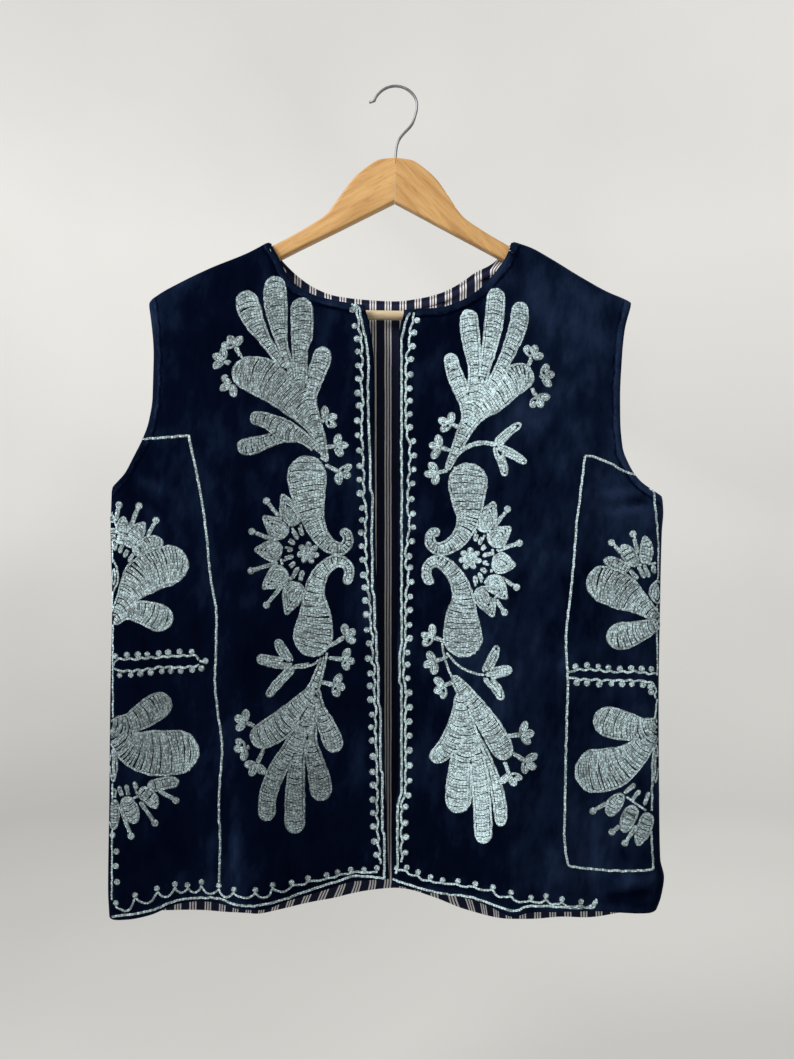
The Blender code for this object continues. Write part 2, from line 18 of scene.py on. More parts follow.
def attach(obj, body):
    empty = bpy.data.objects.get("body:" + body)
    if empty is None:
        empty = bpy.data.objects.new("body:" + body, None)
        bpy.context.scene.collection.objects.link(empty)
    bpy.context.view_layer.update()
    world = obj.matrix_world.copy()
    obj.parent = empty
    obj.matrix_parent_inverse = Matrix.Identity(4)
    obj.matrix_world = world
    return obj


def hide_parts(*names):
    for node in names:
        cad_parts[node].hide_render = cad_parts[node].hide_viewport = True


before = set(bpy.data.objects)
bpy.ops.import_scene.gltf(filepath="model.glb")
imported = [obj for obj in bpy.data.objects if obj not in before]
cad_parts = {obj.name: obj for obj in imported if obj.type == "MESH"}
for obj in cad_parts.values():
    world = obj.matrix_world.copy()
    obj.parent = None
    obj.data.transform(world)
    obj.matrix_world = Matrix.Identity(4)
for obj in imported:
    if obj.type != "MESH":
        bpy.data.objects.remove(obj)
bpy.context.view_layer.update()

# The view: the camera stands level, and a picture column or row is one pixel of 794 x 1059
CAMERA = Vector((0.0015, -0.95, -0.442))
FOCAL = 950.0
CENTRE_COLUMN = 397.0
CENTRE_ROW = 529.5
PICTURE_HEIGHT = 1059
SENSOR = 36.0
# The back's places are as seen straight on, at so many columns a metre
BACK_SCALE = 1000

# Cloth, as in the solids: its walls, the gap at the seams and the gap between its layers
VELVET_WALL = 0.0015
LINING_WALL = 0.0010
GAP = 0.0003
LAYER_GAP = 0.0006
# How thick a sewn edge stays, and the share of the depth above which an edge hangs free
STRIP = 0.0010
FREE_START = 0.35
# How far down the cloth rounds off the shoulder, and the share of the width it does at the side
CAP_HEIGHT = 0.0120
SIDE_ROUND = 0.050
ROUND_MARGIN = 1.1
# How far round the armhole is cut, over what height it opens, and the slope inside the neck
ARM_LIFT = math.radians(65)
ARM_OPENING = 0.055
NECK_RISE = 0.53

# A finer grid than the solids': its angles, columns and rows, and its steps in from an edge
CAP_ANGLES = (10, 20, 30, 40, 50, 60, 70, 80, 90)
SIDE_ANGLES = (90, 80, 70, 60, 50, 41, 32, 24, 16)
SHOULDER_COLUMNS = 34
NECK_COLUMNS = 30
CROWDING = 1.25
ARMHOLE_ROWS = 44
SIDE_ROWS = 104
EDGE_STEPS = (0.0, 0.0008, 0.0022, 0.0052, 0.0095)

# The cloth is looked up through the picture: at what step, how far round it, and for how many
# steps its edge's places are carried on outwards
LOOK_STEP = 2.0
LOOK_MARGIN = 6
LOOK_SPREAD = 6
# The waves of the cloth: how many, how long and how high, in metres
WAVES = 7
WAVE_LENGTH = 0.055
WAVE_HEIGHT = 0.0009
# Turned edges: how far the roll stands out, how deep its stitches lie and how pale its painted
# highlight is, with painted shade in the groove
EDGE_ROLLS = {"stitched": (0.0012, 0.0014, 0.09), "plain": (0.0004, 0.0, 0.05)}
# Sewn seams: where the cloth's waves fade out, then the dip and its shade with their widths
SEAM_REACH = 0.014
SEAM_DIP = (0.0007, 0.0035)
SEAM_SHADE = (0.03, 0.0030)
# Painted sheen on creases: how much paler the pile is painted for each metre that a crease stands
# out, and darker where it sinks in
CREASE_PAINTED_SHEEN = 60
# The stitched line's painted shade and the roll's painted highlight in the velvet's material, as
# distances from a stitched edge
SEAM_INSET = 0.0088
ROLL_INSET = 0.0064
# The lining's stripes: from group to group, and from line to line
STRIPE_REPEAT = 0.0152
STRIPE_LINES = 0.0027

# Hanger, as in the solids
ARM_THICKNESS = 0.012
ARM_EASING = 0.0025
HANGER_TILT = math.radians(0.9)
HANGER_APEX = -0.0717
WIRE_RADIUS = 0.0014
HOOK_RADIUS = 0.0225
# How deep the wire that shows goes into the arms, and how often its bend there is eased
HOOK_SUNK = 0.004
HOOK_EASINGS = 14
BAR_RADIUS = 0.00475
BAR_HEIGHT = -0.2280
BAR_LENGTH = 0.3490

Spot = namedtuple("Spot", "across height")
Edge = namedtuple("Edge", "height across")
Depth = namedtuple("Depth", "height edge middle side")
Fold = namedtuple("Fold", "across lean width top bottom out")
Front = namedtuple("Front", "shoulder neck edge armhole side hem folds")
# A panel's grid: the columns' shares of the width at its top and its hem, the rounded columns at
# both ends with their strips, where the top and the hem start and how wide they are, the edges,
# and what makes the cloth stand out
Grid = namedtuple(
    "Grid", "tops bottoms ends strips top_line low_line edges down depths folds round_off facing"
)
# A small crease: a line of picture points, its half width and how far it stands out, in metres
Crease = namedtuple("Crease", "points width out")


def rows(kind, *lines):
    """Return a short table as a list of named rows."""
    return [kind(*line) for line in lines]


RIGHT_FRONT = Front(
    shoulder=rows(
        Spot, (-0.2455, -0.2155), (-0.2405, -0.2105), (-0.2125, -0.1945), (-0.183, -0.1805),
        (-0.1475, -0.1661), (-0.1265, -0.155),
    ),
    neck=rows(
        Spot, (-0.1265, -0.155), (-0.1144, -0.1746), (-0.1065, -0.191), (-0.0947, -0.2027),
        (-0.0754, -0.2118), (-0.0399, -0.2189), (-0.03, -0.2199),
    ),
    edge=rows(
        Edge, (-0.2199, -0.03), (-0.2467, -0.0244), (-0.2732, -0.0214), (-0.3442, -0.0206),
        (-0.472, -0.0191), (-0.6093, -0.0123), (-0.7074, -0.0093), (-0.7858, -0.0064),
    ),
    armhole=rows(
        Edge, (-0.2155, -0.2455), (-0.2296, -0.243), (-0.2722, -0.2396), (-0.3118, -0.24),
        (-0.3356, -0.2437), (-0.3519, -0.2495), (-0.3726, -0.2609), (-0.39, -0.2712),
        (-0.4015, -0.283),
    ),
    side=rows(
        Edge, (-0.4015, -0.283), (-0.4425, -0.2841), (-0.5125, -0.2826), (-0.6125, -0.2845),
        (-0.7125, -0.2855), (-0.8, -0.2868), (-0.8285, -0.2855),
    ),
    hem=rows(
        Spot, (-0.2855, -0.8285), (-0.2428, -0.8217), (-0.2135, -0.8113), (-0.18, -0.8085),
        (-0.15, -0.812), (-0.13, -0.812), (-0.1052, -0.8057), (-0.0674, -0.7957),
        (-0.038, -0.7885), (-0.0064, -0.7858),
    ),
    folds=rows(
        Fold, (-0.2, 0.02, 0.024, -0.52, -0.8, -0.006),
        (-0.133, -0.03, 0.026, -0.55, -0.8, 0.0065), (-0.045, 0.0, 0.022, -0.6, -0.8, -0.004),
        (-0.175, -0.06, 0.022, -0.22, -0.36, 0.003), (-0.258, 0.0, 0.014, -0.5, -0.78, 0.0025),
    ),
)

LEFT_FRONT = Front(
    shoulder=rows(
        Spot, (0.117, -0.1545), (0.1345, -0.1605), (0.1545, -0.1715), (0.1822, -0.1885),
        (0.2119, -0.205), (0.2275, -0.2115), (0.2352, -0.2155),
    ),
    neck=rows(
        Spot, (0.0081, -0.2251), (0.0208, -0.2241), (0.0428, -0.2228), (0.0626, -0.2167),
        (0.0824, -0.2047), (0.0941, -0.1928), (0.106, -0.1777), (0.117, -0.1545),
    ),
    edge=rows(
        Edge, (-0.2251, 0.0081), (-0.2526, 0.0032), (-0.37, 0.0029), (-0.5259, 0.0025),
        (-0.57, 0.0012), (-0.6877, 0.0031), (-0.718, -0.001), (-0.7486, -0.0007),
        (-0.7907, -0.0036),
    ),
    armhole=rows(
        Edge, (-0.2155, 0.2352), (-0.2237, 0.2328), (-0.2452, 0.2272), (-0.2722, 0.2242),
        (-0.3118, 0.2223), (-0.3353, 0.2223), (-0.3603, 0.2242), (-0.378, 0.2316),
        (-0.3958, 0.245), (-0.4095, 0.2662),
    ),
    side=rows(
        Edge, (-0.4095, 0.2662), (-0.4251, 0.2672), (-0.4445, 0.2657), (-0.5125, 0.264),
        (-0.6125, 0.2625), (-0.7325, 0.2633), (-0.77, 0.2642), (-0.788, 0.268), (-0.806, 0.2653),
        (-0.8205, 0.2602),
    ),
    hem=rows(
        Spot, (-0.0036, -0.7907), (0.0368, -0.7999), (0.0623, -0.803), (0.0905, -0.8102),
        (0.1157, -0.819), (0.1296, -0.816), (0.1614, -0.8162), (0.1973, -0.819), (0.2421, -0.819),
        (0.2602, -0.8205),
    ),
    folds=rows(
        Fold, (0.112, 0.02, 0.022, -0.5, -0.8, 0.0075), (0.196, 0.0, 0.018, -0.62, -0.8, -0.005),
        (0.05, 0.0, 0.024, -0.6, -0.8, -0.003), (0.142, 0.05, 0.014, -0.19, -0.24, -0.0008),
        (0.18, 0.06, 0.024, -0.23, -0.38, 0.0035), (0.24, 0.0, 0.014, -0.66, -0.8, 0.003),
    ),
)

BACK_NECK = rows(
    Spot, (-0.1265, -0.155), (-0.1108, -0.1739), (-0.0968, -0.187), (-0.0794, -0.1984),
    (-0.0602, -0.2052), (-0.0311, -0.2088), (0.0, -0.2104), (0.0268, -0.2071), (0.046, -0.2022),
    (0.0652, -0.1926), (0.081, -0.1814), (0.0961, -0.1739), (0.117, -0.1545),
)
BACK_HEM = rows(
    Spot, (-0.2855, -0.8285), (-0.2192, -0.8275), (-0.1656, -0.8322), (-0.1433, -0.8324),
    (-0.119, -0.8273), (-0.0694, -0.8151), (-0.0056, -0.806), (0.038, -0.8151), (0.0714, -0.8273),
    (0.118, -0.8388), (0.1666, -0.8354), (0.2294, -0.8293), (0.2602, -0.8205),
)
BACK_FOLDS = rows(
    Fold, (-0.165, 0.03, 0.03, -0.45, -0.8, 0.0055), (-0.07, -0.02, 0.026, -0.58, -0.8, -0.0035),
    (0.02, 0.02, 0.03, -0.5, -0.8, 0.0045), (0.118, -0.02, 0.03, -0.42, -0.8, 0.006),
    (0.195, 0.0, 0.022, -0.6, -0.8, -0.004), (-0.215, -0.05, 0.02, -0.24, -0.38, 0.003),
    (0.19, 0.05, 0.02, -0.24, -0.38, 0.003),
)

FRONT_DEPTHS = rows(
    Depth, (-0.15, 0.0122, 0.0122, 0.0115), (-0.24, 0.013, 0.0145, 0.012),
    (-0.4, 0.0165, 0.0205, 0.015), (-0.6, 0.018, 0.022, 0.0155), (-0.84, 0.0165, 0.019, 0.014),
)
BACK_DEPTHS = rows(
    Depth, (-0.15, 0.012, 0.012, 0.0115), (-0.24, 0.0122, 0.013, 0.0118),
    (-0.4, 0.0145, 0.0165, 0.0145), (-0.6, 0.015, 0.017, 0.015), (-0.84, 0.0135, 0.0145, 0.0135),
)

# Hanger outline from the apex to the arm's tip and back to the notch below the hook
ARM_TOP = rows(
    Spot, (0.0, -0.0717), (0.015, -0.0735), (0.03, -0.0825), (0.0425, -0.094), (0.0545, -0.1105),
    (0.069, -0.13), (0.0785, -0.137), (0.1215, -0.1616), (0.15, -0.175), (0.183, -0.1905),
    (0.2, -0.1995), (0.209, -0.207), (0.213, -0.218),
)
ARM_BOTTOM = rows(
    Spot, (0.2105, -0.23), (0.201, -0.237), (0.19, -0.236), (0.183, -0.228), (0.172, -0.213),
    (0.15, -0.195), (0.113, -0.174), (0.055, -0.144), (0.0, -0.1155),
)
HOOK_ROUTE = rows(
    Spot, (-0.0262, -0.015), (0.0215, -0.0225), (0.0165, -0.0385), (0.0065, -0.047),
    (0.002, -0.055), (0.0, -0.0705),
)


def smooth_through(places, values):
    """Return a smooth curve through the values, which never overshoots them."""
    places = np.asarray(places, float)
    values = np.asarray(values, float)
    if places[0] > places[-1]:
        places = places[::-1]
        values = values[::-1]
    steps = np.diff(places)
    slopes = np.diff(values) / steps
    product = slopes[:-1] * slopes[1:]
    total = slopes[:-1] + slopes[1:]
    inner = np.where(product > 0, 2 * product / np.where(total == 0, 1.0, total), 0.0)
    tangents = np.concatenate(([slopes[0]], inner, [slopes[-1]]))

    def at(place):
        place = np.clip(place, places[0], places[-1])
        k = np.clip(np.searchsorted(places, place, side="left") - 1, 0, len(steps) - 1)
        step = steps[k]
        t = (place - places[k]) / step
        return (
            values[k] * (1 + 2 * t) * (1 - t) ** 2
            + tangents[k] * step * t * (1 - t) ** 2
            + values[k + 1] * t * t * (3 - 2 * t)
            - tangents[k + 1] * step * t * t * (1 - t)
        )

    return at


def height_curve(spots):
    return smooth_through([s.across for s in spots], [s.height for s in spots])


def across_curve(edges):
    return smooth_through([e.height for e in edges], [e.across for e in edges])


def depth_curves(table):
    heights = [d.height for d in table]
    return [smooth_through(heights, [d[k] for d in table]) for k in (1, 2, 3)]


def mix(a, b, share):
    return a + (b - a) * share


def polar(reach, angle):
    """Return a place's across and up at a distance and an angle."""
    return reach * math.cos(angle), reach * math.sin(angle)


def ease(t):
    t = np.clip(t, 0.0, 1.0)
    return t * t * (3 - 2 * t)


def swell(depths, folds, share, x, z):
    """Return how far the cloth stands from the garment's middle plane."""
    edge, middle, side = (depth(z) for depth in depths)
    depth = edge * (1 - share) * (1 - 2 * share) + middle * 4 * share * (1 - share)
    depth = depth + side * share * (2 * share - 1)
    for fold in folds:
        centre = fold.across + fold.lean * (z - fold.bottom)
        swing = ease((fold.top - z) / (fold.top - fold.bottom))
        depth = depth + bell(x - centre, fold.out * swing, fold.width)
    return depth


class Side:
    """One side of the garment: its outer edge from the shoulder tip to the hem corner."""

    def __init__(self, front):
        self.tip = front.armhole[0]
        self.underarm = front.side[0].height
        self.corner = front.side[-1]
        self.armhole = across_curve(front.armhole)
        self.seam = across_curve(front.side)
        angles = np.radians((0, 0) + CAP_ANGLES)
        heights = list(self.tip.height - CAP_HEIGHT * (1 - np.cos(angles)))
        start = heights[-1]
        for k in range(1, ARMHOLE_ROWS + 1):
            heights.append(mix(start, self.underarm, (k / ARMHOLE_ROWS) ** 0.95))
        height = self.underarm - self.corner.height
        steps = [(1 - k / SIDE_ROWS) * (1 - EDGE_STEPS[-1] / height) for k in range(SIDE_ROWS)]
        for step in reversed(steps):
            heights.append(self.underarm - step * height)
        for step in reversed(EDGE_STEPS[:-1]):
            heights.append(self.corner.height + step)
        self.heights = np.array(sorted(set(np.round(heights[1:], 7)), reverse=True))
        self.heights = np.concatenate(([self.tip.height], self.heights))

    def across(self, height):
        return np.where(height > self.underarm, self.armhole(height), self.seam(height))

    def cut_angle(self, height):
        """Return how far round from the side fold the edge is cut: 0 at the side seam."""
        return ARM_LIFT * ease((height - self.underarm) / ARM_OPENING)

    def shares(self):
        return (self.heights - self.tip.height) / (self.corner.height - self.tip.height)

    def slacks(self):
        """Return how much lower each row lies below a free edge, which has evenly spaced rows."""
        count = len(CAP_ANGLES) + 1
        slacks = np.zeros(len(self.heights))
        rows_down = np.arange(1, count)
        drops = self.tip.height - self.heights[1:count]
        slacks[1:count] = CAP_HEIGHT * rows_down / count - drops
        return slacks


def free_share(start):
    return ease(start / FREE_START)


def around_side(cut, share_from_side):
    """Return the share of the full depth at a place near the side."""
    return np.sqrt(1 - np.maximum(0.0, np.cos(cut) - share_from_side / SIDE_ROUND) ** 2)


def side_columns(cut):
    """Return the rounding columns' shares of the width from the side, and their strips."""
    shares = []
    for angle in SIDE_ANGLES:
        bend = cut + (math.pi / 2 - cut) * angle / 90
        shares.append(SIDE_ROUND * (np.cos(cut) - np.cos(bend)))
    strips = [np.zeros_like(cut)] * len(shares)
    free = free_share(np.sin(cut))
    shares.append(shares[-1] * free / 2)
    strips.append(STRIP * (1 - free))
    shares.append(np.zeros_like(cut))
    strips.append(np.zeros_like(cut))
    return np.stack(shares, 1), np.stack(strips, 1)


def over_hanger(drop):
    """Return the share of the full depth at a drop below the shoulder line."""
    return np.sqrt(1 - np.clip(1 - drop / CAP_HEIGHT, 0.0, 1.0) ** 2)


def drape(grid, top, shoulder_line, hem, slack):
    """Return the points of a panel's outer surface, row by row down from its top."""
    size = (len(grid.down), len(grid.tops))

    def columns(ends, middle):
        return np.concatenate([ends[0], np.broadcast_to(middle, size), ends[1]], 1)

    across = columns(grid.ends, mix(grid.tops, grid.bottoms, grid.down))
    strips = columns(grid.strips, 0.0)
    x_top = grid.top_line[0] + grid.top_line[1] * columns(grid.ends, grid.tops)
    z_top = top(x_top)
    z_low = hem(grid.low_line[0] + grid.low_line[1] * columns(grid.ends, grid.bottoms))
    x = mix(*grid.edges, across)
    z = mix(z_top, z_low, grid.down)
    free = free_share(over_hanger(shoulder_line(x_top) - z_top))
    z = z - free * slack
    cap_strip = np.zeros_like(x)
    cap_strip[1] = STRIP * (1 - free[1])
    cap = over_hanger(shoulder_line(x) - z)
    depth = swell(grid.depths, grid.folds, across, x, z) * cap * grid.round_off(across)
    y = grid.facing * (GAP / 2 + depth + cap_strip + strips * cap)
    return np.stack([x, y, z], 2)


def front_grid(front):
    """Return the points of a front's outer surface, row by row from the front edge to the side."""
    side = Side(front)
    neck = height_curve(front.neck)
    shoulder = height_curve(front.shoulder)
    edge = across_curve(front.edge)
    corner_top = front.edge[0]
    corner_bottom = front.edge[-1]
    seam_end = min(front.shoulder, key=lambda spot: abs(spot.across))
    width_top = side.tip.across - corner_top.across
    width_bottom = side.corner.across - corner_bottom.across
    turn = (seam_end.across - corner_top.across) / width_top
    plain = 1 - SIDE_ROUND * ROUND_MARGIN
    near = [step / abs(width_top) for step in EDGE_STEPS]
    tops = near + [
        mix(near[-1], turn, 1 - (1 - k / NECK_COLUMNS) ** CROWDING)
        for k in range(1, NECK_COLUMNS + 1)
    ]
    tops += [mix(turn, plain, k / SHOULDER_COLUMNS) for k in range(1, SHOULDER_COLUMNS + 1)]
    tops = np.array(tops)
    low_near = [step / abs(width_bottom) for step in EDGE_STEPS]
    rest = len(tops) - len(low_near)
    bottoms = low_near + [mix(low_near[-1], plain, k / rest) for k in range(1, rest + 1)]
    bottoms = np.array(bottoms)

    def shoulder_line(x):
        inside = abs(seam_end.across) - np.abs(x)
        return np.where(inside <= 0, shoulder(x), seam_end.height + NECK_RISE * inside)

    def top(x):
        return np.where(np.abs(x) < abs(seam_end.across) - 1e-9, neck(x), shoulder(x))

    down = side.shares()[:, None]
    inner = edge(mix(corner_top.height, corner_bottom.height, down))
    cut = side.cut_angle(side.heights)
    shares, strips = side_columns(cut)
    none = np.zeros((len(down), 0))
    grid = Grid(
        tops=tops,
        bottoms=bottoms,
        ends=(none, 1 - shares),
        strips=(none, strips),
        top_line=(corner_top.across, width_top),
        low_line=(corner_bottom.across, width_bottom),
        edges=(inner, side.across(side.heights)[:, None]),
        down=down,
        depths=depth_curves(FRONT_DEPTHS),
        folds=front.folds,
        round_off=lambda across: around_side(cut[:, None], 1 - across),
        facing=-1,
    )
    return drape(grid, top, shoulder_line, height_curve(front.hem), side.slacks()[:, None])


def back_grid():
    """Return the points of the back's outer surface, row by row from the right to the left."""
    right = Side(RIGHT_FRONT)
    left = Side(LEFT_FRONT)
    neck = height_curve(BACK_NECK)
    right_shoulder = height_curve(RIGHT_FRONT.shoulder)
    left_shoulder = height_curve(LEFT_FRONT.shoulder)
    neck_right = BACK_NECK[0]
    neck_left = BACK_NECK[-1]
    width_top = left.tip.across - right.tip.across
    turns = [(end.across - right.tip.across) / width_top for end in (neck_right, neck_left)]
    middle = -right.tip.across / width_top
    plain = SIDE_ROUND / 2 * ROUND_MARGIN
    outwards = [k / SHOULDER_COLUMNS for k in range(1, SHOULDER_COLUMNS + 1)]
    inwards = [(k / NECK_COLUMNS) ** CROWDING for k in range(1, NECK_COLUMNS + 1)]
    tops = [mix(turns[0], plain, share) for share in reversed(outwards)] + [turns[0]]
    tops += [mix(turns[0], middle, share) for share in inwards]
    tops += [mix(turns[1], middle, share) for share in reversed(inwards[:-1])] + [turns[1]]
    tops += [mix(turns[1], 1 - plain, share) for share in outwards]
    tops = np.array(tops)

    def shoulder(x):
        return np.where(x < 0, right_shoulder(x), left_shoulder(x))

    def shoulder_line(x):
        across = np.where(x < 0, neck_right.across, neck_left.across)
        height = np.where(x < 0, neck_right.height, neck_left.height)
        inside = np.abs(across) - np.abs(x)
        return np.where(inside <= 0, shoulder(x), height + NECK_RISE * inside)

    def top(x):
        inside = (x > neck_right.across + 1e-9) & (x < neck_left.across - 1e-9)
        return np.where(inside, neck(x), shoulder(x))

    down = right.shares()[:, None]
    left_heights = mix(left.tip.height, left.corner.height, down[:, 0])
    cut_r = right.cut_angle(right.heights)
    cut_l = left.cut_angle(left_heights)
    shares_r, strips_r = side_columns(cut_r)
    shares_l, strips_l = side_columns(cut_l)

    def round_off(across):
        right_side = around_side(cut_r[:, None], across * 2)
        return right_side * around_side(cut_l[:, None], (1 - across) * 2)

    grid = Grid(
        tops=tops,
        bottoms=np.linspace(plain, 1 - plain, len(tops)),
        ends=(shares_r[:, ::-1] / 2, 1 - shares_l / 2),
        strips=(strips_r[:, ::-1], strips_l),
        top_line=(right.tip.across, width_top),
        low_line=(right.corner.across, left.corner.across - right.corner.across),
        edges=(right.across(right.heights)[:, None], left.across(left_heights)[:, None]),
        down=down,
        depths=depth_curves(BACK_DEPTHS),
        folds=BACK_FOLDS,
        round_off=round_off,
        facing=1,
    )
    return drape(grid, top, shoulder_line, height_curve(BACK_HEM), right.slacks()[:, None])


def unit(vectors):
    """Return vectors made one long."""
    return vectors / np.maximum(np.linalg.norm(vectors, axis=-1, keepdims=True), 1e-12)


def grid_normals(points, facing):
    """Return each grid point's normal, towards the outside."""
    down = np.gradient(points, axis=0)
    along = np.gradient(points, axis=1)
    normals = unit(np.cross(along, down))
    middle = normals[normals.shape[0] // 2, normals.shape[1] // 2]
    return normals if middle[1] * facing > 0 else -normals


def lengths_along(line):
    """Return how far along a polyline each of its points lies."""
    return np.concatenate(([0.0], np.cumsum(np.linalg.norm(np.diff(line, axis=0), axis=1))))


def distance_to(points, line):
    """Return how far each point lies from a polyline, across and in height."""
    line = np.asarray(line, float)
    flat = points[..., (0, 2)].reshape(-1, 2)
    best = np.full(len(flat), 1.0)
    along = np.zeros(len(flat))
    lengths = lengths_along(line)
    for k in range(len(line) - 1):
        a = line[k]
        step = line[k + 1] - a
        size = step @ step
        t = np.clip(((flat - a) @ step) / size, 0, 1)
        gap = np.linalg.norm(flat - (a + t[:, None] * step), axis=1)
        closer = gap < best
        best = np.where(closer, gap, best)
        along = np.where(closer, (lengths[k] + t * math.sqrt(size)) / lengths[-1], along)
    shape = points.shape[:-1]
    return best.reshape(shape), along.reshape(shape)


def flat_place(column, row, depth):
    """Return a picture place's across and height at a depth, as the camera sees it."""
    scale = (depth - CAMERA.y) / FOCAL
    return CAMERA.x + (column - CENTRE_COLUMN) * scale, CAMERA.z + (CENTRE_ROW - row) * scale


def noise_waves(points, seed):
    """Return slow, uneven waves over the cloth, from a few sines."""
    random = np.random.default_rng(seed)
    total = np.zeros(points.shape[:-1])
    for _ in range(WAVES):
        angle = random.uniform(0, math.pi)
        length = WAVE_LENGTH * random.uniform(0.7, 1.8)
        phase = random.uniform(0, 2 * math.pi)
        along = points[..., 0] * math.cos(angle) + points[..., 2] * 0.6 * math.sin(angle)
        total += np.sin(2 * math.pi * along / length + phase)
    return total * WAVE_HEIGHT / WAVES


def crease_relief(points, creases, depth):
    """Return how far each point stands out or in for the listed creases."""
    total = np.zeros(points.shape[:-1])
    for crease in creases:
        line = [flat_place(column, row, depth) for column, row in crease.points]
        gap, along = distance_to(points, line)
        fade = np.sin(math.pi * np.clip(along, 0.0, 1.0) * 0.92 + 0.12)
        total += bell(gap, crease.out * np.clip(fade, 0, 1), crease.width)
    return total


def bell(offset, height, width):
    """Return a soft bump's height at an offset from its middle."""
    return height * np.exp(-((offset / width) ** 2))


def hem_roll(gap, out, groove):
    """Return the relief of a turned and stitched edge at a distance from it."""
    return bell(gap - 0.0038, out, 0.0030) - bell(gap - 0.0085, groove, 0.0013)


def edge_fall(gap):
    """Return how far the velvet's outer face drops as it turns over a free edge."""
    return 0.0010 * (1 - np.sqrt(1 - np.clip(1 - gap / 0.0026, 0.0, 1.0) ** 2))


def border(grid, name):
    """Return one border of a grid as across and height pairs."""
    line = {"top": grid[0], "hem": grid[-1], "inner": grid[:, 0], "outer": grid[:, -1]}[name]
    return line[:, (0, 2)]


def thin_out(line, step=0.004):
    """Return a polyline with fewer points, at least a step apart."""
    kept = [line[0]]
    for place in line[1:-1]:
        if np.linalg.norm(place - kept[-1]) >= step:
            kept.append(place)
    kept.append(line[-1])
    return np.array(kept)


def grid_cells(index):
    """Return each cell's four corners."""
    corners = (index[:-1, :-1], index[1:, :-1], index[1:, 1:], index[:-1, 1:])
    return np.stack([corner.ravel() for corner in corners], 1)


def shell_mesh(name, outer, inner, facing):
    """Return a closed thin shell between an outer and an inner grid of points."""
    high, wide = outer.shape[:2]
    count = high * wide
    points = np.concatenate([outer.reshape(-1, 3), inner.reshape(-1, 3)])
    index = np.arange(count).reshape(high, wide)
    front = grid_cells(index)
    back = front[:, ::-1] + count
    loop = np.concatenate([index[0, :-1], index[:-1, -1], index[-1, :0:-1], index[:0:-1, 0]])
    after = np.roll(loop, -1)
    rim = np.stack([loop, after, after + count, loop + count], 1)
    faces = np.concatenate([front, back, rim])
    middle = outer[high // 2, wide // 2]
    lower = outer[high // 2 + 1, wide // 2]
    right = outer[high // 2, wide // 2 + 1]
    spin = np.cross(lower - middle, right - middle)
    if spin[1] * facing < 0:
        faces = faces[:, ::-1]
    mesh = bpy.data.meshes.new(name)
    mesh.from_pydata(points.tolist(), [], faces.tolist())
    mesh.update()
    return mesh


def cloth_places(mesh):
    """Return how far across and how high a mesh's points lie."""
    places = np.empty(len(mesh.vertices) * 3)
    mesh.vertices.foreach_get("co", places)
    return places[::3], places[2::3]


def stripe_places(mesh):
    """Return where the lining's stripes lie: they lean at the neck and swing with the hem."""
    x, z = cloth_places(mesh)
    lean = 0.80 * np.clip(np.abs(x) / 0.11, 0.0, 1.1) ** 1.6
    neck = np.clip(z - np.where(x > -0.160, -0.180, -0.119), 0.0, 0.03)
    hem = np.clip(-0.800 - z, 0.0, 0.05)
    swing = bell(x + 0.08, 0.45, 0.07) - bell(x - 0.07, 0.35, 0.03)
    return x - np.sign(x) * lean * neck + swing * hem, z


def write_uv(mesh, across, up):
    """Give each corner of the mesh its cloth coordinates, in metres."""
    layer = mesh.uv_layers.new(name="cloth")
    picks = np.empty(len(mesh.loops), dtype=np.int32)
    mesh.loops.foreach_get("vertex_index", picks)
    values = np.stack([across[picks], up[picks]], 1).astype(np.float32)
    layer.data.foreach_set("uv", values.ravel())


def write_layer(mesh, label, values):
    """Give each point of the mesh a value that its material reads."""
    layer = mesh.attributes.new(label, "FLOAT", "POINT")
    layer.data.foreach_set("value", values.astype(np.float32).ravel())


def add_thing(name, data):
    thing = bpy.data.objects.new(name, data)
    bpy.context.scene.collection.objects.link(thing)
    return thing


def add_mesh(name, mesh, material):
    mesh.materials.append(material)
    mesh.polygons.foreach_set("use_smooth", [True] * len(mesh.polygons))
    return add_thing(name, mesh)


def add_piece(name, mesh, material):
    """Add a piece that rides on the garment's one body."""
    thing = add_mesh(name, mesh, material)
    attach(thing, "root")
    return thing


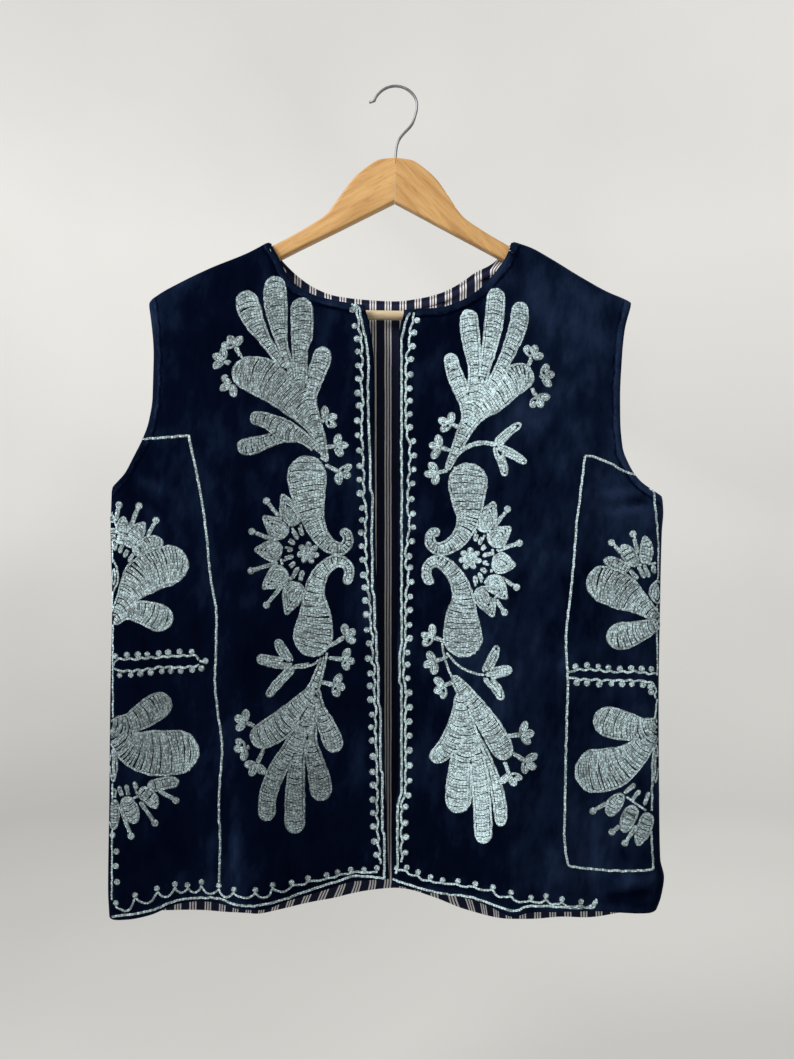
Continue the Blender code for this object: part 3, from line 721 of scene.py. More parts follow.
class Panel:
    """One cloth panel: its velvet, its lining and the surface that the embroidery lies on."""

    def __init__(self, name, grid, facing, creases, seams, seed):
        self.facing = facing
        self.flat_view = name == "back"
        base_normals = grid_normals(grid, facing)
        depth = float(np.median(grid[..., 1]))
        creased = crease_relief(grid, creases, depth)
        relief = noise_waves(grid, seed) + creased
        # Painted light on the pile: paler on crease tops and brushed patches, darker in crease
        # troughs
        painted_light = CREASE_PAINTED_SHEEN * creased + self.brushed(grid)
        fall = np.zeros(grid.shape[:2])
        sewn = np.ones(grid.shape[:2])
        edge = np.full(grid.shape[:2], 1.0)
        for line, kind in seams:
            gap, _ = distance_to(grid, thin_out(line))
            if kind == "sewn":
                sewn *= ease(gap / SEAM_REACH)
                relief -= bell(gap, *SEAM_DIP)
                # Painted shade along the sewn seam
                painted_light -= bell(gap, *SEAM_SHADE)
            else:
                out, groove, shine = EDGE_ROLLS[kind]
                relief += hem_roll(gap, out, groove)
                # Painted highlight on the roll and painted shade in its groove
                painted_light += hem_roll(gap, shine, 0.9 * shine)
                fall = np.maximum(fall, edge_fall(gap))
                if kind == "stitched":
                    edge = np.minimum(edge, gap)
        relief *= sewn
        moved = grid + base_normals * relief[..., None]
        normals = grid_normals(moved, facing)
        self.outer = moved - normals * fall[..., None]
        inner = moved - normals * VELVET_WALL
        self.velvet = shell_mesh(f"velvet_{name}", self.outer, inner, facing)
        write_uv(self.velvet, *cloth_places(self.velvet))
        for label, values in (("painted_light", painted_light), ("edge", edge)):
            write_layer(self.velvet, label, np.tile(values.ravel(), 2))
        lining = LAYER_GAP + VELVET_WALL
        inner = moved - normals * (lining + LINING_WALL)
        self.lining = shell_mesh(f"lining_{name}", moved - normals * lining, inner, facing)
        write_uv(self.lining, *stripe_places(self.lining))
        self.prepare()

    def brushed(self, grid):
        """Return the painted sheen where the pile is brushed the other way: how much lighter it is
        painted.
        """
        columns, levels = self.project(grid.reshape(-1, 3))
        total = np.zeros(len(columns))
        for column, row, wide, high, light in PAINTED_NAP_PATCHES:
            away = ((columns - column) / wide) ** 2
            total += light * np.exp(-away - ((levels - row) / high) ** 2)
        return total.reshape(grid.shape[:2])

    def keep_on(self, line, inset):
        """Return a line that runs down the cloth, moved in where it would leave the cloth."""
        path = smooth_line(line)[0][::5].copy()
        levels = ((path[:, 1] - self.top) / LOOK_STEP).round().astype(int)
        for spot, known in zip(path, self.known[levels.clip(0, len(self.known) - 1)]):
            there = self.left + np.flatnonzero(known) * LOOK_STEP
            if len(there):
                spot[0] = np.clip(spot[0], there[0] + inset, there[-1] - inset)
        return path

    def prepare(self):
        """Look at the panel through the picture and keep its depth and normal on a fine mesh."""
        places = self.outer.reshape(-1, 3)
        cells = grid_cells(np.arange(len(places)).reshape(self.outer.shape[:2]))
        faces = np.concatenate([cells[:, (0, 1, 2)], cells[:, (0, 2, 3)]])
        tree = BVHTree.FromPolygons(places.tolist(), faces.tolist())
        columns, levels = self.project(places)
        self.left = math.floor(columns.min()) - LOOK_MARGIN
        self.top = math.floor(levels.min()) - LOOK_MARGIN
        across = int((columns.max() - self.left + LOOK_MARGIN + LOOK_STEP) / LOOK_STEP) + 1
        down = int((levels.max() - self.top + LOOK_MARGIN + LOOK_STEP) / LOOK_STEP) + 1
        depth = np.full((down, across), np.nan)
        normal = np.zeros((down, across, 3))
        for r in range(down):
            for c in range(across):
                start, toward = self.ray(self.left + c * LOOK_STEP, self.top + r * LOOK_STEP)
                hit, bend, _, _ = tree.ray_cast(start, toward)
                if hit is not None:
                    depth[r, c] = hit.y
                    normal[r, c] = bend if bend.y * self.facing > 0 else -bend
        self.known = ~np.isnan(depth)
        known = self.known.copy()
        for _ in range(LOOK_SPREAD):
            total = np.zeros_like(depth)
            bends = np.zeros_like(normal)
            count = np.zeros_like(depth)
            for dr, dc in ((0, 1), (1, 0), (0, -1), (-1, 0)):
                shifted = np.roll(np.where(known, depth, 0.0), (dr, dc), (0, 1))
                turned = np.roll(normal * known[..., None], (dr, dc), (0, 1))
                there = np.roll(known, (dr, dc), (0, 1))
                total += shifted * there
                bends += turned
                count += there
            fresh = ~known & (count > 0)
            depth[fresh] = total[fresh] / count[fresh]
            normal[fresh] = bends[fresh] / count[fresh][:, None]
            known |= fresh
        self.depth = np.where(known, depth, np.nanmedian(depth))
        self.normal = normal

    def seen(self, columns, levels, depth):
        """Return picture places' across and height, for the back as seen straight on."""
        if not self.flat_view:
            return flat_place(columns, levels, depth)
        x = (columns - CENTRE_COLUMN) / BACK_SCALE
        return x, CAMERA.z + (CENTRE_ROW - levels) / BACK_SCALE

    def ray(self, column, row):
        x, z = self.seen(column, row, 0.0)
        if self.flat_view:
            return Vector((x, 0.5, z)), Vector((0, -1, 0))
        return CAMERA, (Vector((x, 0.0, z)) - CAMERA).normalized()

    def project(self, places):
        if self.flat_view:
            columns = CENTRE_COLUMN + places[:, 0] * BACK_SCALE
            return columns, CENTRE_ROW - (places[:, 2] - CAMERA.z) * BACK_SCALE
        away = places[:, 1] - CAMERA.y
        columns = CENTRE_COLUMN + FOCAL * (places[:, 0] - CAMERA.x) / away
        return columns, CENTRE_ROW - FOCAL * (places[:, 2] - CAMERA.z) / away

    def place(self, spots):
        """Return the points, normals and shares of cloth behind picture places."""
        c = np.clip((spots[:, 0] - self.left) / LOOK_STEP, 0, self.depth.shape[1] - 1.001)
        r = np.clip((spots[:, 1] - self.top) / LOOK_STEP, 0, self.depth.shape[0] - 1.001)
        c0, r0 = c.astype(int), r.astype(int)
        fc, fr = c - c0, r - r0
        weights = ((1 - fc) * (1 - fr), fc * (1 - fr), (1 - fc) * fr, fc * fr)
        corners = ((r0, c0), (r0, c0 + 1), (r0 + 1, c0), (r0 + 1, c0 + 1))
        y = sum(w * self.depth[k] for w, k in zip(weights, corners))
        normal = sum(w[:, None] * self.normal[k] for w, k in zip(weights, corners))
        there = sum(w * self.known[k] for w, k in zip(weights, corners))
        x, z = self.seen(spots[:, 0], spots[:, 1], y)
        return np.stack([x, y, z], 1), unit(normal), there


def smooth_line(points, step=0.8):
    """Return a smooth line through picture points, with its lengths."""
    points = np.asarray(points, float)[:, :2]
    if len(points) == 2:
        count = max(2, int(np.linalg.norm(points[1] - points[0]) / step) + 1)
        line = np.linspace(points[0], points[1], count)
    else:
        before, after = 2 * points[0] - points[1], 2 * points[-1] - points[-2]
        padded = np.concatenate([[before], points, [after]])
        pieces = []
        for k in range(1, len(padded) - 2):
            p0, p1, p2, p3 = padded[k - 1 : k + 3]
            count = max(2, int(np.linalg.norm(p2 - p1) / step) + 1)
            t = np.linspace(0, 1, count, endpoint=False)[:, None]
            curve = 2 * p1 + (p2 - p0) * t + (2 * p0 - 5 * p1 + 4 * p2 - p3) * t**2
            pieces.append(0.5 * (curve + (3 * p1 - p0 - 3 * p2 + p3) * t**3))
        pieces.append(points[-1:])
        line = np.concatenate(pieces)
    return line, lengths_along(line)


def steps_along(line):
    """Return a line's directions and the directions across it."""
    ahead = unit(np.gradient(line, axis=0))
    return ahead, np.stack([-ahead[:, 1], ahead[:, 0]], 1)


# The needle's measures are in picture columns. How long a stitch is, how wide one is in a line,
# and how far it may reach over earlier work
STITCH_LENGTH = 2.9
LINE_WIDTH = 2.4
OVERLAP = 0.7
# How far a shape's edge row lies inside its edge, and the distance between rows across it
EDGE_INSET = 1.15
ROW_PITCH = 2.62
# Where the first ring inside the edge row lies, and the distance from ring to ring
RING_INSET = 3.70
RING_PITCH = 2.55
# The share of rows that part from the row before by a slit
PARTING = 0.15
# How far the small rounds beside a line lie from it
ROUND_OFFSET = 4.3
# Groups whose widest petal has a smaller half width are filled with rings, the others with rows
SMALL_HALF = 7.5


class Blob:
    """A worked shape, from its tip to its foot: places on its middle line with half widths."""

    def __init__(self, *places):
        places = np.array(places, float)
        points, halves = places[:, :2], places[:, 2]
        self.line, self.lengths = smooth_line(points)
        knots = lengths_along(points)
        total = self.lengths[-1]
        half = smooth_through(knots / knots[-1] * total, halves)(self.lengths)
        self.body = half
        for end, near in ((halves[0], self.lengths), (halves[-1], total - self.lengths)):
            near = np.minimum(near / max(end, 0.5), 1)
            half = half * np.sqrt(1 - (1 - near) ** 2)
        self.half = half
        self.ahead, self.side = steps_along(self.line)
        self.discs = np.concatenate([self.line, half[:, None]], 1)
        # What later shapes of its group leave free: all but its foot
        self.worked = self.discs[self.lengths < max(total - 1.3 * halves[-1], 0.5 * total)]

    def loop(self, inset):
        """Return the closed line that runs round inside the shape's edge."""
        edge = (self.half - inset)[:, None]
        keep = edge[:, 0] > 0.25
        line, side, edge = self.line[keep], self.side[keep], edge[keep]
        return np.concatenate([line + side * edge, (line - side * edge)[::-1]])


def rings_inside(blob):
    """Return rows that run round inside a shape's edge, ever smaller."""
    inset, found = RING_INSET, []
    while blob.half.max() - inset > 1.2:
        ring = blob.loop(inset)
        found.append((np.concatenate([ring, ring[:1]]), 2.0, 2.45))
        inset += RING_PITCH
    left = blob.half.max() - inset + 1.4
    middle = blob.line[blob.half > inset - 1.0]
    return found + [(middle, 1.5, 2 * left)] if len(middle) > 2 and left > 0.5 else found


def inside(places, discs, shrink):
    """Return which places lie inside any disc made smaller by so much."""
    found = np.zeros(len(places), bool)
    for k in range(0, len(discs), 500):
        part = discs[k : k + 500]
        gap = np.linalg.norm(places[:, None] - part[None, :, :2], axis=2)
        found |= (gap < part[None, :, 2] - shrink).any(1)
    return found


def runs(mask):
    """Return where each run of kept places starts and ends."""
    edges = np.flatnonzero(np.diff(np.concatenate(([0], mask.astype(int), [0]))))
    return list(zip(edges[::2], edges[1::2]))


class Needle:
    """Works chain stitches in picture places, and leaves out what earlier shapes cover."""

    def __init__(self, seed):
        self.random = np.random.default_rng(seed)
        self.stitches = [[], [], [], []]
        self.discs = np.zeros((0, 3))
        self.light = 1.0

    def lay(self, starts, ends, width):
        """Keep stitches from each start to each end."""
        if len(starts):
            keep = ~inside((starts + ends) / 2, self.discs, OVERLAP)
            same = np.ones(int(keep.sum()))
            self.keep(starts[keep], ends[keep], same * width, same * self.light)

    def keep(self, *parts):
        for kept, part in zip(self.stitches, parts):
            kept.append(part)

    def laid(self):
        return [np.concatenate(part) for part in self.stitches]

    def chain(self, points, width=LINE_WIDTH, closed=False, smooth=True):
        """Work one row of chain stitches along a line."""
        if closed:
            points = np.concatenate([points, points[:1]])
        line = smooth_line(points)[0] if smooth else np.asarray(points, float)
        lengths = lengths_along(line)
        if lengths[-1] < 1.0:
            return
        count = max(1, round(lengths[-1] / STITCH_LENGTH))
        marks = np.linspace(0, lengths[-1], count + 1)
        if count > 2:
            shift = self.random.uniform(-1.0, 1.0)
            marks[1:-1] += shift + self.random.uniform(-0.6, 0.6, count - 1)
        places = np.stack([np.interp(marks, lengths, line[:, k]) for k in (0, 1)], 1)
        wobble = self.random.normal(0, 0.24, places.shape)
        if closed:
            wobble[-1] = wobble[0]
        places = places + wobble
        self.lay(places[:-1], places[1:], width)

    def line(self, points, width=LINE_WIDTH):
        self.light = self.random.uniform(1.18, 1.32)
        self.chain(points, width=width)
        line, _ = smooth_line(points, 1.5)
        self.cover(line, width / 2)

    def cover(self, places, radii):
        radii = np.broadcast_to(radii, (len(places),))
        self.discs = np.concatenate([self.discs, np.concatenate([places, radii[:, None]], 1)])

    def shapes(self, blobs, fill=None, bow=0.42):
        """Work shapes that grow into one another: one edge round all, with the fill inside."""
        small = max(blob.half.max() for blob in blobs) < SMALL_HALF
        fill = fill or ("rings" if small else "rows")
        every = np.concatenate([blob.discs for blob in blobs])
        for k, blob in enumerate(blobs):
            others = [other.discs for other in blobs if other is not blob] + [np.zeros((0, 3))]
            earlier = [other.worked for other in blobs[:k]] + [np.zeros((0, 3))]
            others, earlier = np.concatenate(others), np.concatenate(earlier)
            self.light = self.random.uniform(0.93, 1.09)
            loop = blob.loop(EDGE_INSET)
            shown = ~inside(loop, others, 2 * EDGE_INSET)
            if shown.all():
                self.chain(loop[::2], closed=True)
            else:
                first = int(np.argmin(shown))
                loop, shown = np.roll(loop, -first, axis=0), np.roll(shown, -first)
                for start, stop in runs(shown):
                    if stop - start > 3:
                        self.chain(loop[start:stop], smooth=False)
            light = self.light
            found = self.rows_across(blob, bow) if fill == "rows" else rings_inside(blob)
            for row, inset, width in found:
                self.light = light * self.random.uniform(0.90, 1.08)
                self.fill(row, every, earlier, inset, width)
        self.cover(every[:, :2], every[:, 2])

    def fill(self, row, every, earlier, inset, width):
        kept = inside(row, every, inset) & ~inside(row, earlier, -0.6)
        for start, stop in runs(kept):
            if stop - start > 2:
                part = row[start:stop]
                if self.random.random() < 0.5:
                    part = part[::-1]
                self.chain(part, width=width, smooth=False)

    def rows_across(self, blob, bow):
        """Return the rows across a shape, a little uneven, with slits where two rows part."""
        found = []
        mark = 2.6
        parted = 0.0
        lean = self.random.uniform(-0.10, 0.10)
        while mark < blob.lengths[-1] - 0.5:
            k = int(np.searchsorted(blob.lengths, mark).clip(0, len(blob.line) - 1))
            reach = (blob.half[k] if mark < 0.5 * blob.lengths[-1] else blob.body[k]) + 1.5
            if reach > 4.0:
                share = np.linspace(-1, 1, max(7, int(reach * 4)))
                bend = bow * min(reach, 9.0) * (share**2 - 0.35) + lean * share * reach
                if parted:
                    bend = bend - parted * np.exp(-(((share - middle) / spread) ** 2))
                    parted = 0.0
                elif self.random.random() < PARTING:
                    parted = self.random.uniform(0.35, 0.75)
                    middle = self.random.uniform(-0.35, 0.35)
                    spread = self.random.uniform(0.14, 0.36)
                row = blob.line[k] + blob.side[k] * share[:, None] * reach
                found.append((row + blob.ahead[k] * bend[:, None], 2.35, ROW_PITCH))
                if parted:
                    mark += 0.6 * parted
            mark += ROW_PITCH * self.random.uniform(0.95, 1.06)
        return found

    def ring(self, x, y, radius, width, count):
        turn = self.random.uniform(0, 2 * math.pi)
        angles = turn + np.linspace(0, 2 * math.pi, count + 1)
        places = np.stack([x + radius * np.cos(angles), y + radius * np.sin(angles)], 1)
        self.lay(places[:-1], places[1:], width)

    def knob(self, x, y, radius):
        """Work a small round: a ring of stitches round a middle one."""
        self.light = self.random.uniform(0.95, 1.12)
        self.ring(x, y, radius - 1.25, 2.5, 6 if radius > 3.5 else 5)
        angle = self.random.uniform(0, math.pi)
        spot, step = np.array([[x, y]], float), np.array([polar(1.2, angle)])
        self.lay(spot - step, spot + step, 2.3)
        self.cover(spot, radius)

    def sprig(self, x, y, stem_x, stem_y):
        """Work a small three-lobed flower that points away from its stem."""
        toward = math.atan2(y - stem_y, x - stem_x)
        back_x, back_y = polar(1.0, toward)
        foot_x, foot_y = x - 4.6 * back_x, y - 4.6 * back_y
        lobes = []
        for turn, size in ((0, 0.98), (-62, 1.04), (62, 0.98)):
            angle = toward + math.radians(turn + self.random.uniform(-9, 9))
            reach = 12.8 * size * self.random.uniform(0.92, 1.08)
            across, up = polar(reach, angle)
            shape = ((1, 2.0), (0.62, 4.2), (0.05, 2.8))
            spots = ((foot_x + across * k, foot_y + up * k, half) for k, half in shape)
            lobes.append(Blob(*spots))
        stem = (stem_x - 3.5 * back_x, stem_y - 3.5 * back_y, 2.0)
        lobes.append(Blob((foot_x, foot_y, 2.6), (stem_x, stem_y, 1.9), stem))
        self.shapes(lobes, "rings")

    def stamen(self, head_x, head_y, foot_x, foot_y):
        self.knob(head_x, head_y, 3.9)
        self.shapes([Blob((head_x, head_y, 1.9), (foot_x, foot_y, 2.3))], "rings")

    def finger(self, head_x, head_y, foot_x, foot_y):
        """Work a short bar of two rows, rounder at its head."""
        middle = (mix(head_x, foot_x, 0.5), mix(head_y, foot_y, 0.5), 2.2)
        foot = (mix(head_x, foot_x, 1.25), mix(head_y, foot_y, 1.25), 1.9)
        self.shapes([Blob((head_x, head_y, 3.0), middle, foot)], "rings")

    def rosette(self, x, y, radius=11.3, count=7):
        self.light = 1.0
        self.ring(x, y, 1.9, 3.6, 4)
        lobes = []
        for k in range(count):
            angle = 2 * math.pi * (k + 0.3) / count
            across, up = polar(radius, angle)
            lobes.append(Blob((x + across, y + up, 3.7), (x + 0.2 * across, y + 0.2 * up, 2.4)))
        self.shapes(lobes, "rings")


# One strand of a chain stitch: along, aside, up and the painted light at each of its places, shade
# at its feet and highlight on its top
STRAND = (
    (-0.14, 0.05, 0.12, 0.62), (0.2, 0.44, 0.0, 0.14), (0.26, 0.25, 0.62, 1.18),
    (0.32, 0.05, 0.1, 0.62), (0.72, 0.5, 0.0, 0.14), (0.72, 0.3, 0.7, 1.18),
    (0.68, 0.08, 0.16, 0.66), (1.16, 0.08, 0.24, 0.7),
)
STRAND_FACES = (
    (0, 1, 2), (0, 2, 3), (1, 4, 5), (1, 5, 2), (2, 5, 6), (2, 6, 3), (4, 7, 5), (5, 7, 6),
)
# The thread that lies flat under it, painted in shade
BED = ((-0.08, -0.56, 0.08), (1.08, -0.56, 0.08), (1.08, 0.56, 0.08), (-0.08, 0.56, 0.08))
BED_FACES = ((0, 2, 1), (0, 3, 2))
BED_PAINTED_SHADE = 0.11
# How light one strand may be beside another, and the brightest that thread shows
STRAND_LIGHT = (0.36, 1.68)
BRIGHTEST = 1.55
# A stitch's height over the cloth, how deep its sides sink into it, and the longest one kept
STITCH_HEIGHT = 0.00125
STITCH_SINK = 0.00022
LONGEST_STITCH = 0.0075
# How far a motif's painted sheen reaches, in picture columns
PAINTED_SHEEN_REACH = 30.0


def painted_thread_sheen(places):
    """Return the thread's painted sheen at picture places, from the motifs round them."""
    known = np.array(MOTIF_PAINTED_SHEEN, float)
    gap = np.linalg.norm(places[:, None] - known[None, :, :2], axis=2)
    weight = 1 / (gap**2 + PAINTED_SHEEN_REACH**2) ** 1.5
    return (weight * known[:, 2]).sum(1) / weight.sum(1)


def stitch_mesh(name, panel, stitches, random):
    """Return the mesh of a panel's stitches, each made of two strands that part and meet."""
    starts, ends, widths, lights = stitches
    # Each stitch's painted sheen from its motif, times its shape's own tone
    painted_sheen_tones = painted_thread_sheen((starts + ends) / 2) * lights
    first, normal_a, there_a = panel.place(starts)
    second, normal_b, there_b = panel.place(ends)
    along = second - first
    length = np.linalg.norm(along, axis=1)
    keep = (there_a > 0.6) & (there_b > 0.6) & (length < LONGEST_STITCH)
    first, along, widths, painted_sheen_tones = first[keep], along[keep], widths[keep], painted_sheen_tones[keep]
    normal = (normal_a + normal_b)[keep]
    aside = unit(np.cross(normal, along))
    up = unit(np.cross(along, aside))
    wide = widths[:, None] / BACK_SCALE * random.uniform(0.90, 1.08, (len(widths), 1))
    tall = STITCH_HEIGHT * random.uniform(0.85, 1.15, (len(widths), 1))
    points = []
    for side in (1, -1):
        for a, b, h, _ in STRAND:
            sink = STITCH_SINK if h == 0.0 else 0.0
            points.append(first + along * a + aside * (side * b * wide) + up * (h * tall - sink))
    for a, b, h in BED:
        points.append(first + along * a + aside * (b * wide) + up * (h * tall))
    points = np.stack(points, 1)
    count = len(STRAND)
    strand = np.array(STRAND_FACES)
    bed = 2 * count + np.array(BED_FACES)
    template = np.concatenate([strand, count + strand[:, ::-1], bed])
    offsets = np.arange(len(points))[:, None, None] * (2 * count + len(BED))
    faces = (template[None] + offsets).reshape(-1, 3)
    a, b, c = (points.reshape(-1, 3)[faces[0, k]] for k in range(3))
    if np.dot(np.cross(b - a, c - a), up[0]) < 0:
        faces = faces[:, ::-1]
    mesh = bpy.data.meshes.new(name)
    mesh.from_pydata(points.reshape(-1, 3).tolist(), [], faces.tolist())
    # The painted light at each place of a strand
    light = np.array([part[3] for part in STRAND])
    painted_sheen_tones = painted_sheen_tones * random.uniform(0.84, 1.14, len(painted_sheen_tones))
    painted_sheen_tones = painted_sheen_tones[:, None]
    strands = [painted_sheen_tones * random.uniform(*STRAND_LIGHT, painted_sheen_tones.shape) * light for _ in (0, 1)]
    painted_beds = np.repeat(painted_sheen_tones * BED_PAINTED_SHADE, len(BED), 1)
    # Painted shade and highlight along each strand and on the bed, times each motif's painted
    # sheen
    write_layer(mesh, "tone", np.minimum(np.concatenate(strands + [painted_beds], 1), BRIGHTEST))
    mesh.update()
    return mesh


def weld(mesh, reach):
    """Join a mesh's points that lie within reach, and turn its faces outwards."""
    shape = bmesh.new()
    shape.from_mesh(mesh)
    bmesh.ops.remove_doubles(shape, verts=shape.verts, dist=reach)
    bmesh.ops.recalc_face_normals(shape, faces=shape.faces)
    shape.to_mesh(mesh)
    shape.free()


def line_mesh(name, places, closed, **settings):
    """Return the mesh of a bevelled line through places, with its caps welded on."""
    curve = bpy.data.curves.new(name, "CURVE")
    for key, value in settings.items():
        setattr(curve, key, value)
    spline = curve.splines.new("POLY")
    spline.points.add(len(places) - 1)
    for point, place in zip(spline.points, places):
        point.co = (*place, 1.0)
    spline.use_cyclic_u = closed
    thing = add_thing(name, curve)
    graph = bpy.context.evaluated_depsgraph_get()
    mesh = bpy.data.meshes.new_from_object(thing.evaluated_get(graph))
    bpy.data.objects.remove(thing)
    bpy.data.curves.remove(curve)
    weld(mesh, 1e-6)
    return mesh


def hanger_outline():
    """Return the hanger's outline: the left arm's curve and its mirror image."""
    top = height_curve(ARM_TOP[:-1])
    low = height_curve(ARM_BOTTOM[3:])

    def trace(curve, end, count):
        return [Spot(end * k / count, float(curve(end * k / count))) for k in range(count + 1)]

    upper = trace(top, ARM_TOP[-2].across, 96)
    lower = trace(low, ARM_BOTTOM[3].across, 60)[::-1]
    tip, _ = smooth_line([upper[-1]] + ARM_TOP[-1:] + ARM_BOTTOM[:3] + [lower[0]], 0.0025)
    left = upper + [Spot(*place) for place in tip[1:-1]] + lower
    right = [Spot(-s.across, s.height) for s in reversed(left[1:-1])]
    return left + right


def arm_board():
    """Return the hanger's flat board, with rounded edges."""
    return line_mesh(
        "hanger_board",
        [(spot.across, spot.height, 0.0) for spot in hanger_outline()],
        True,
        dimensions="2D",
        fill_mode="BOTH",
        extrude=ARM_THICKNESS / 2 - ARM_EASING,
        bevel_depth=ARM_EASING,
        bevel_resolution=4,
        offset=-ARM_EASING,
    )


def half_board(board, side, name):
    """Return the half of the board on one side of the mitre."""
    shape = bmesh.new()
    shape.from_mesh(board)
    cut = bmesh.ops.bisect_plane(
        shape,
        geom=shape.verts[:] + shape.edges[:] + shape.faces[:],
        plane_co=(side * GAP / 2, 0, 0),
        plane_no=(-side, 0, 0),
        clear_outer=True,
    )
    rim = [edge for edge in cut["geom_cut"] if isinstance(edge, bmesh.types.BMEdge)]
    bmesh.ops.contextual_create(shape, geom=rim)
    bmesh.ops.recalc_face_normals(shape, faces=shape.faces)
    half = bpy.data.meshes.new(name)
    shape.to_mesh(half)
    shape.free()
    half.transform(Matrix.Rotation(math.pi / 2, 4, "X"))
    half.transform(hanger_place())
    return half


def hanger_place():
    apex = Matrix.Translation((0, 0, HANGER_APEX))
    return apex @ Matrix.Rotation(HANGER_TILT, 4, "Y") @ apex.inverted()


def turned_mesh(name, profile, sides, place):
    """Return a profile's surface of revolution: place orders its along and its two aside."""
    points, faces = [], []
    for along, reach in profile:
        for k in range(sides):
            points.append(place(along, *polar(reach, 2 * math.pi * k / sides)))
    for a in range(len(points) - sides):
        b = a + 1 if (a + 1) % sides else a + 1 - sides
        faces.append((a, b, b + sides, a + sides))
    mesh = bpy.data.meshes.new(name)
    mesh.from_pydata(points, [], faces)
    return mesh


def turned_bar():
    """Return the trouser bar, with softly rounded ends."""
    half = BAR_LENGTH / 2 - GAP
    ease_in = 0.0008
    profile = [(-half, 0.0)]
    profile += [
        (-half + ease_in * (1 - math.sin(a)), BAR_RADIUS - ease_in * (1 - math.cos(a)))
        for a in np.radians((90, 60, 30, 0))
    ]
    profile += [(x, BAR_RADIUS) for x in np.linspace(-half + 0.003, half - 0.003, 40)]
    profile += [(-x, radius) for x, radius in reversed(profile[:5])]
    profile = [(x, max(radius, 1e-5)) for x, radius in profile]
    mesh = turned_mesh("trouser_bar", profile, 40, lambda x, a, b: (x, a, BAR_HEIGHT + b))
    weld(mesh, 5e-5)
    mesh.transform(hanger_place())
    return mesh


def hook_mesh():
    """Return the hook's wire, bent in one line from its tip to the stem."""
    centre = Vector((0.0, WIRE_RADIUS - HOOK_RADIUS))
    points = [Vector(HOOK_ROUTE[0])]
    for degrees in np.linspace(160, 0, 41):
        angle = math.radians(degrees)
        points.append(centre + HOOK_RADIUS * Vector((math.cos(angle), math.sin(angle))))
    heights = [spot.height for spot in HOOK_ROUTE[1:]]
    across = across_curve(HOOK_ROUTE[1:])
    for k in range(1, 31):
        height = mix(heights[0], heights[-1], k / 30)
        points.append(Vector((float(across(height)), height)))
    points.append(Vector((-HOOK_SUNK * math.sin(HANGER_TILT), HANGER_APEX - HOOK_SUNK)))
    first = 37  # Where the arc leaves its top for the stem; the points before it stay
    for _ in range(HOOK_EASINGS):
        before, middle, after = points[first - 1 :], points[first:], points[first + 1 :]
        points[first:-1] = [(a + 2 * b + c) / 4 for a, b, c in zip(before, middle, after)]
    places = [(point.x, 0.0, point.y) for point in points]
    wire = {"dimensions": "3D", "bevel_depth": WIRE_RADIUS, "bevel_resolution": 5}
    return line_mesh("hook_wire", places, False, use_fill_caps=True, **wire)


class Shader:
    """A small helper to wire a procedural material."""

    def __init__(self, name, roughness, metallic=0.0):
        self.material = bpy.data.materials.new(name)
        self.material.use_nodes = True
        self.tree = self.material.node_tree
        self.surface = self.tree.nodes["Principled BSDF"]
        self.surface.inputs["Roughness"].default_value = roughness
        self.surface.inputs["Metallic"].default_value = metallic

    def node(self, kind, **settings):
        made = self.tree.nodes.new(kind)
        for name, value in settings.items():
            setattr(made, name, value)
        return made

    def join(self, source, target):
        self.tree.links.new(source, target)

    def coordinates(self, turn=(0, 0, 0), scale=(1, 1, 1)):
        place = self.node("ShaderNodeTexCoord")
        mapping = self.node("ShaderNodeMapping", vector_type="TEXTURE")
        mapping.inputs["Rotation"].default_value = turn
        mapping.inputs["Scale"].default_value = [1 / share for share in scale]
        self.join(place.outputs["Object"], mapping.inputs["Vector"])
        return mapping.outputs["Vector"]

    def noise(self, where, scale, detail=3.0, roughness=0.5, distortion=0.0):
        made = self.node("ShaderNodeTexNoise")
        names = ("Scale", "Detail", "Roughness", "Distortion")
        for name, number in zip(names, (scale, detail, roughness, distortion)):
            made.inputs[name].default_value = number
        self.join(where, made.inputs["Vector"])
        return made.outputs["Fac"]

    def ramp(self, value, *stops):
        made = self.node("ShaderNodeValToRGB")
        ends = made.color_ramp.elements
        while len(ends) < len(stops):
            ends.new(0.5)
        for end, (place, colour) in zip(ends, stops):
            end.position = place
            end.color = (*colour, 1.0)
        self.join(value, made.inputs["Fac"])
        return made.outputs["Color"]

    def level(self, value, low, high, start=0.0, stop=1.0):
        made = self.node("ShaderNodeMapRange")
        names = ("From Min", "From Max", "To Min", "To Max")
        for name, number in zip(names, (low, high, start, stop)):
            made.inputs[name].default_value = number
        self.join(value, made.inputs["Value"])
        return made.outputs["Result"]

    def sum(self, kind, first, second):
        made = self.node("ShaderNodeMath", operation=kind)
        for socket, value in zip(made.inputs, (first, second)):
            if isinstance(value, (int, float)):
                socket.default_value = value
            else:
                self.join(value, socket)
        return made.outputs["Value"]

    def away(self, value, middle):
        """Return how far a value is from a middle, on either side."""
        return self.sum("ABSOLUTE", self.sum("SUBTRACT", value, middle), 0.0)

    def blend(self, share, first, second, kind="MIX"):
        made = self.node("ShaderNodeMix", data_type="RGBA", blend_type=kind)
        if isinstance(share, (int, float)):
            made.inputs[0].default_value = share
        else:
            self.join(share, made.inputs[0])
        for socket, value in zip((made.inputs[6], made.inputs[7]), (first, second)):
            if isinstance(value, tuple):
                socket.default_value = (*value, 1.0)
            else:
                self.join(value, socket)
        return made.outputs[2]

    def colour(self, socket):
        self.join(socket, self.surface.inputs["Base Color"])

    def bump(self, height, strength, distance):
        made = self.node("ShaderNodeBump")
        made.inputs["Strength"].default_value = strength
        made.inputs["Distance"].default_value = distance
        self.join(height, made.inputs["Height"])
        self.join(made.outputs["Normal"], self.surface.inputs["Normal"])

    def sheen(self, weight, roughness, tint):
        self.surface.inputs["Sheen Weight"].default_value = weight
        self.surface.inputs["Sheen Roughness"].default_value = roughness
        self.surface.inputs["Sheen Tint"].default_value = (*tint, 1.0)

    def shine(self, level):
        self.surface.inputs["Specular IOR Level"].default_value = level


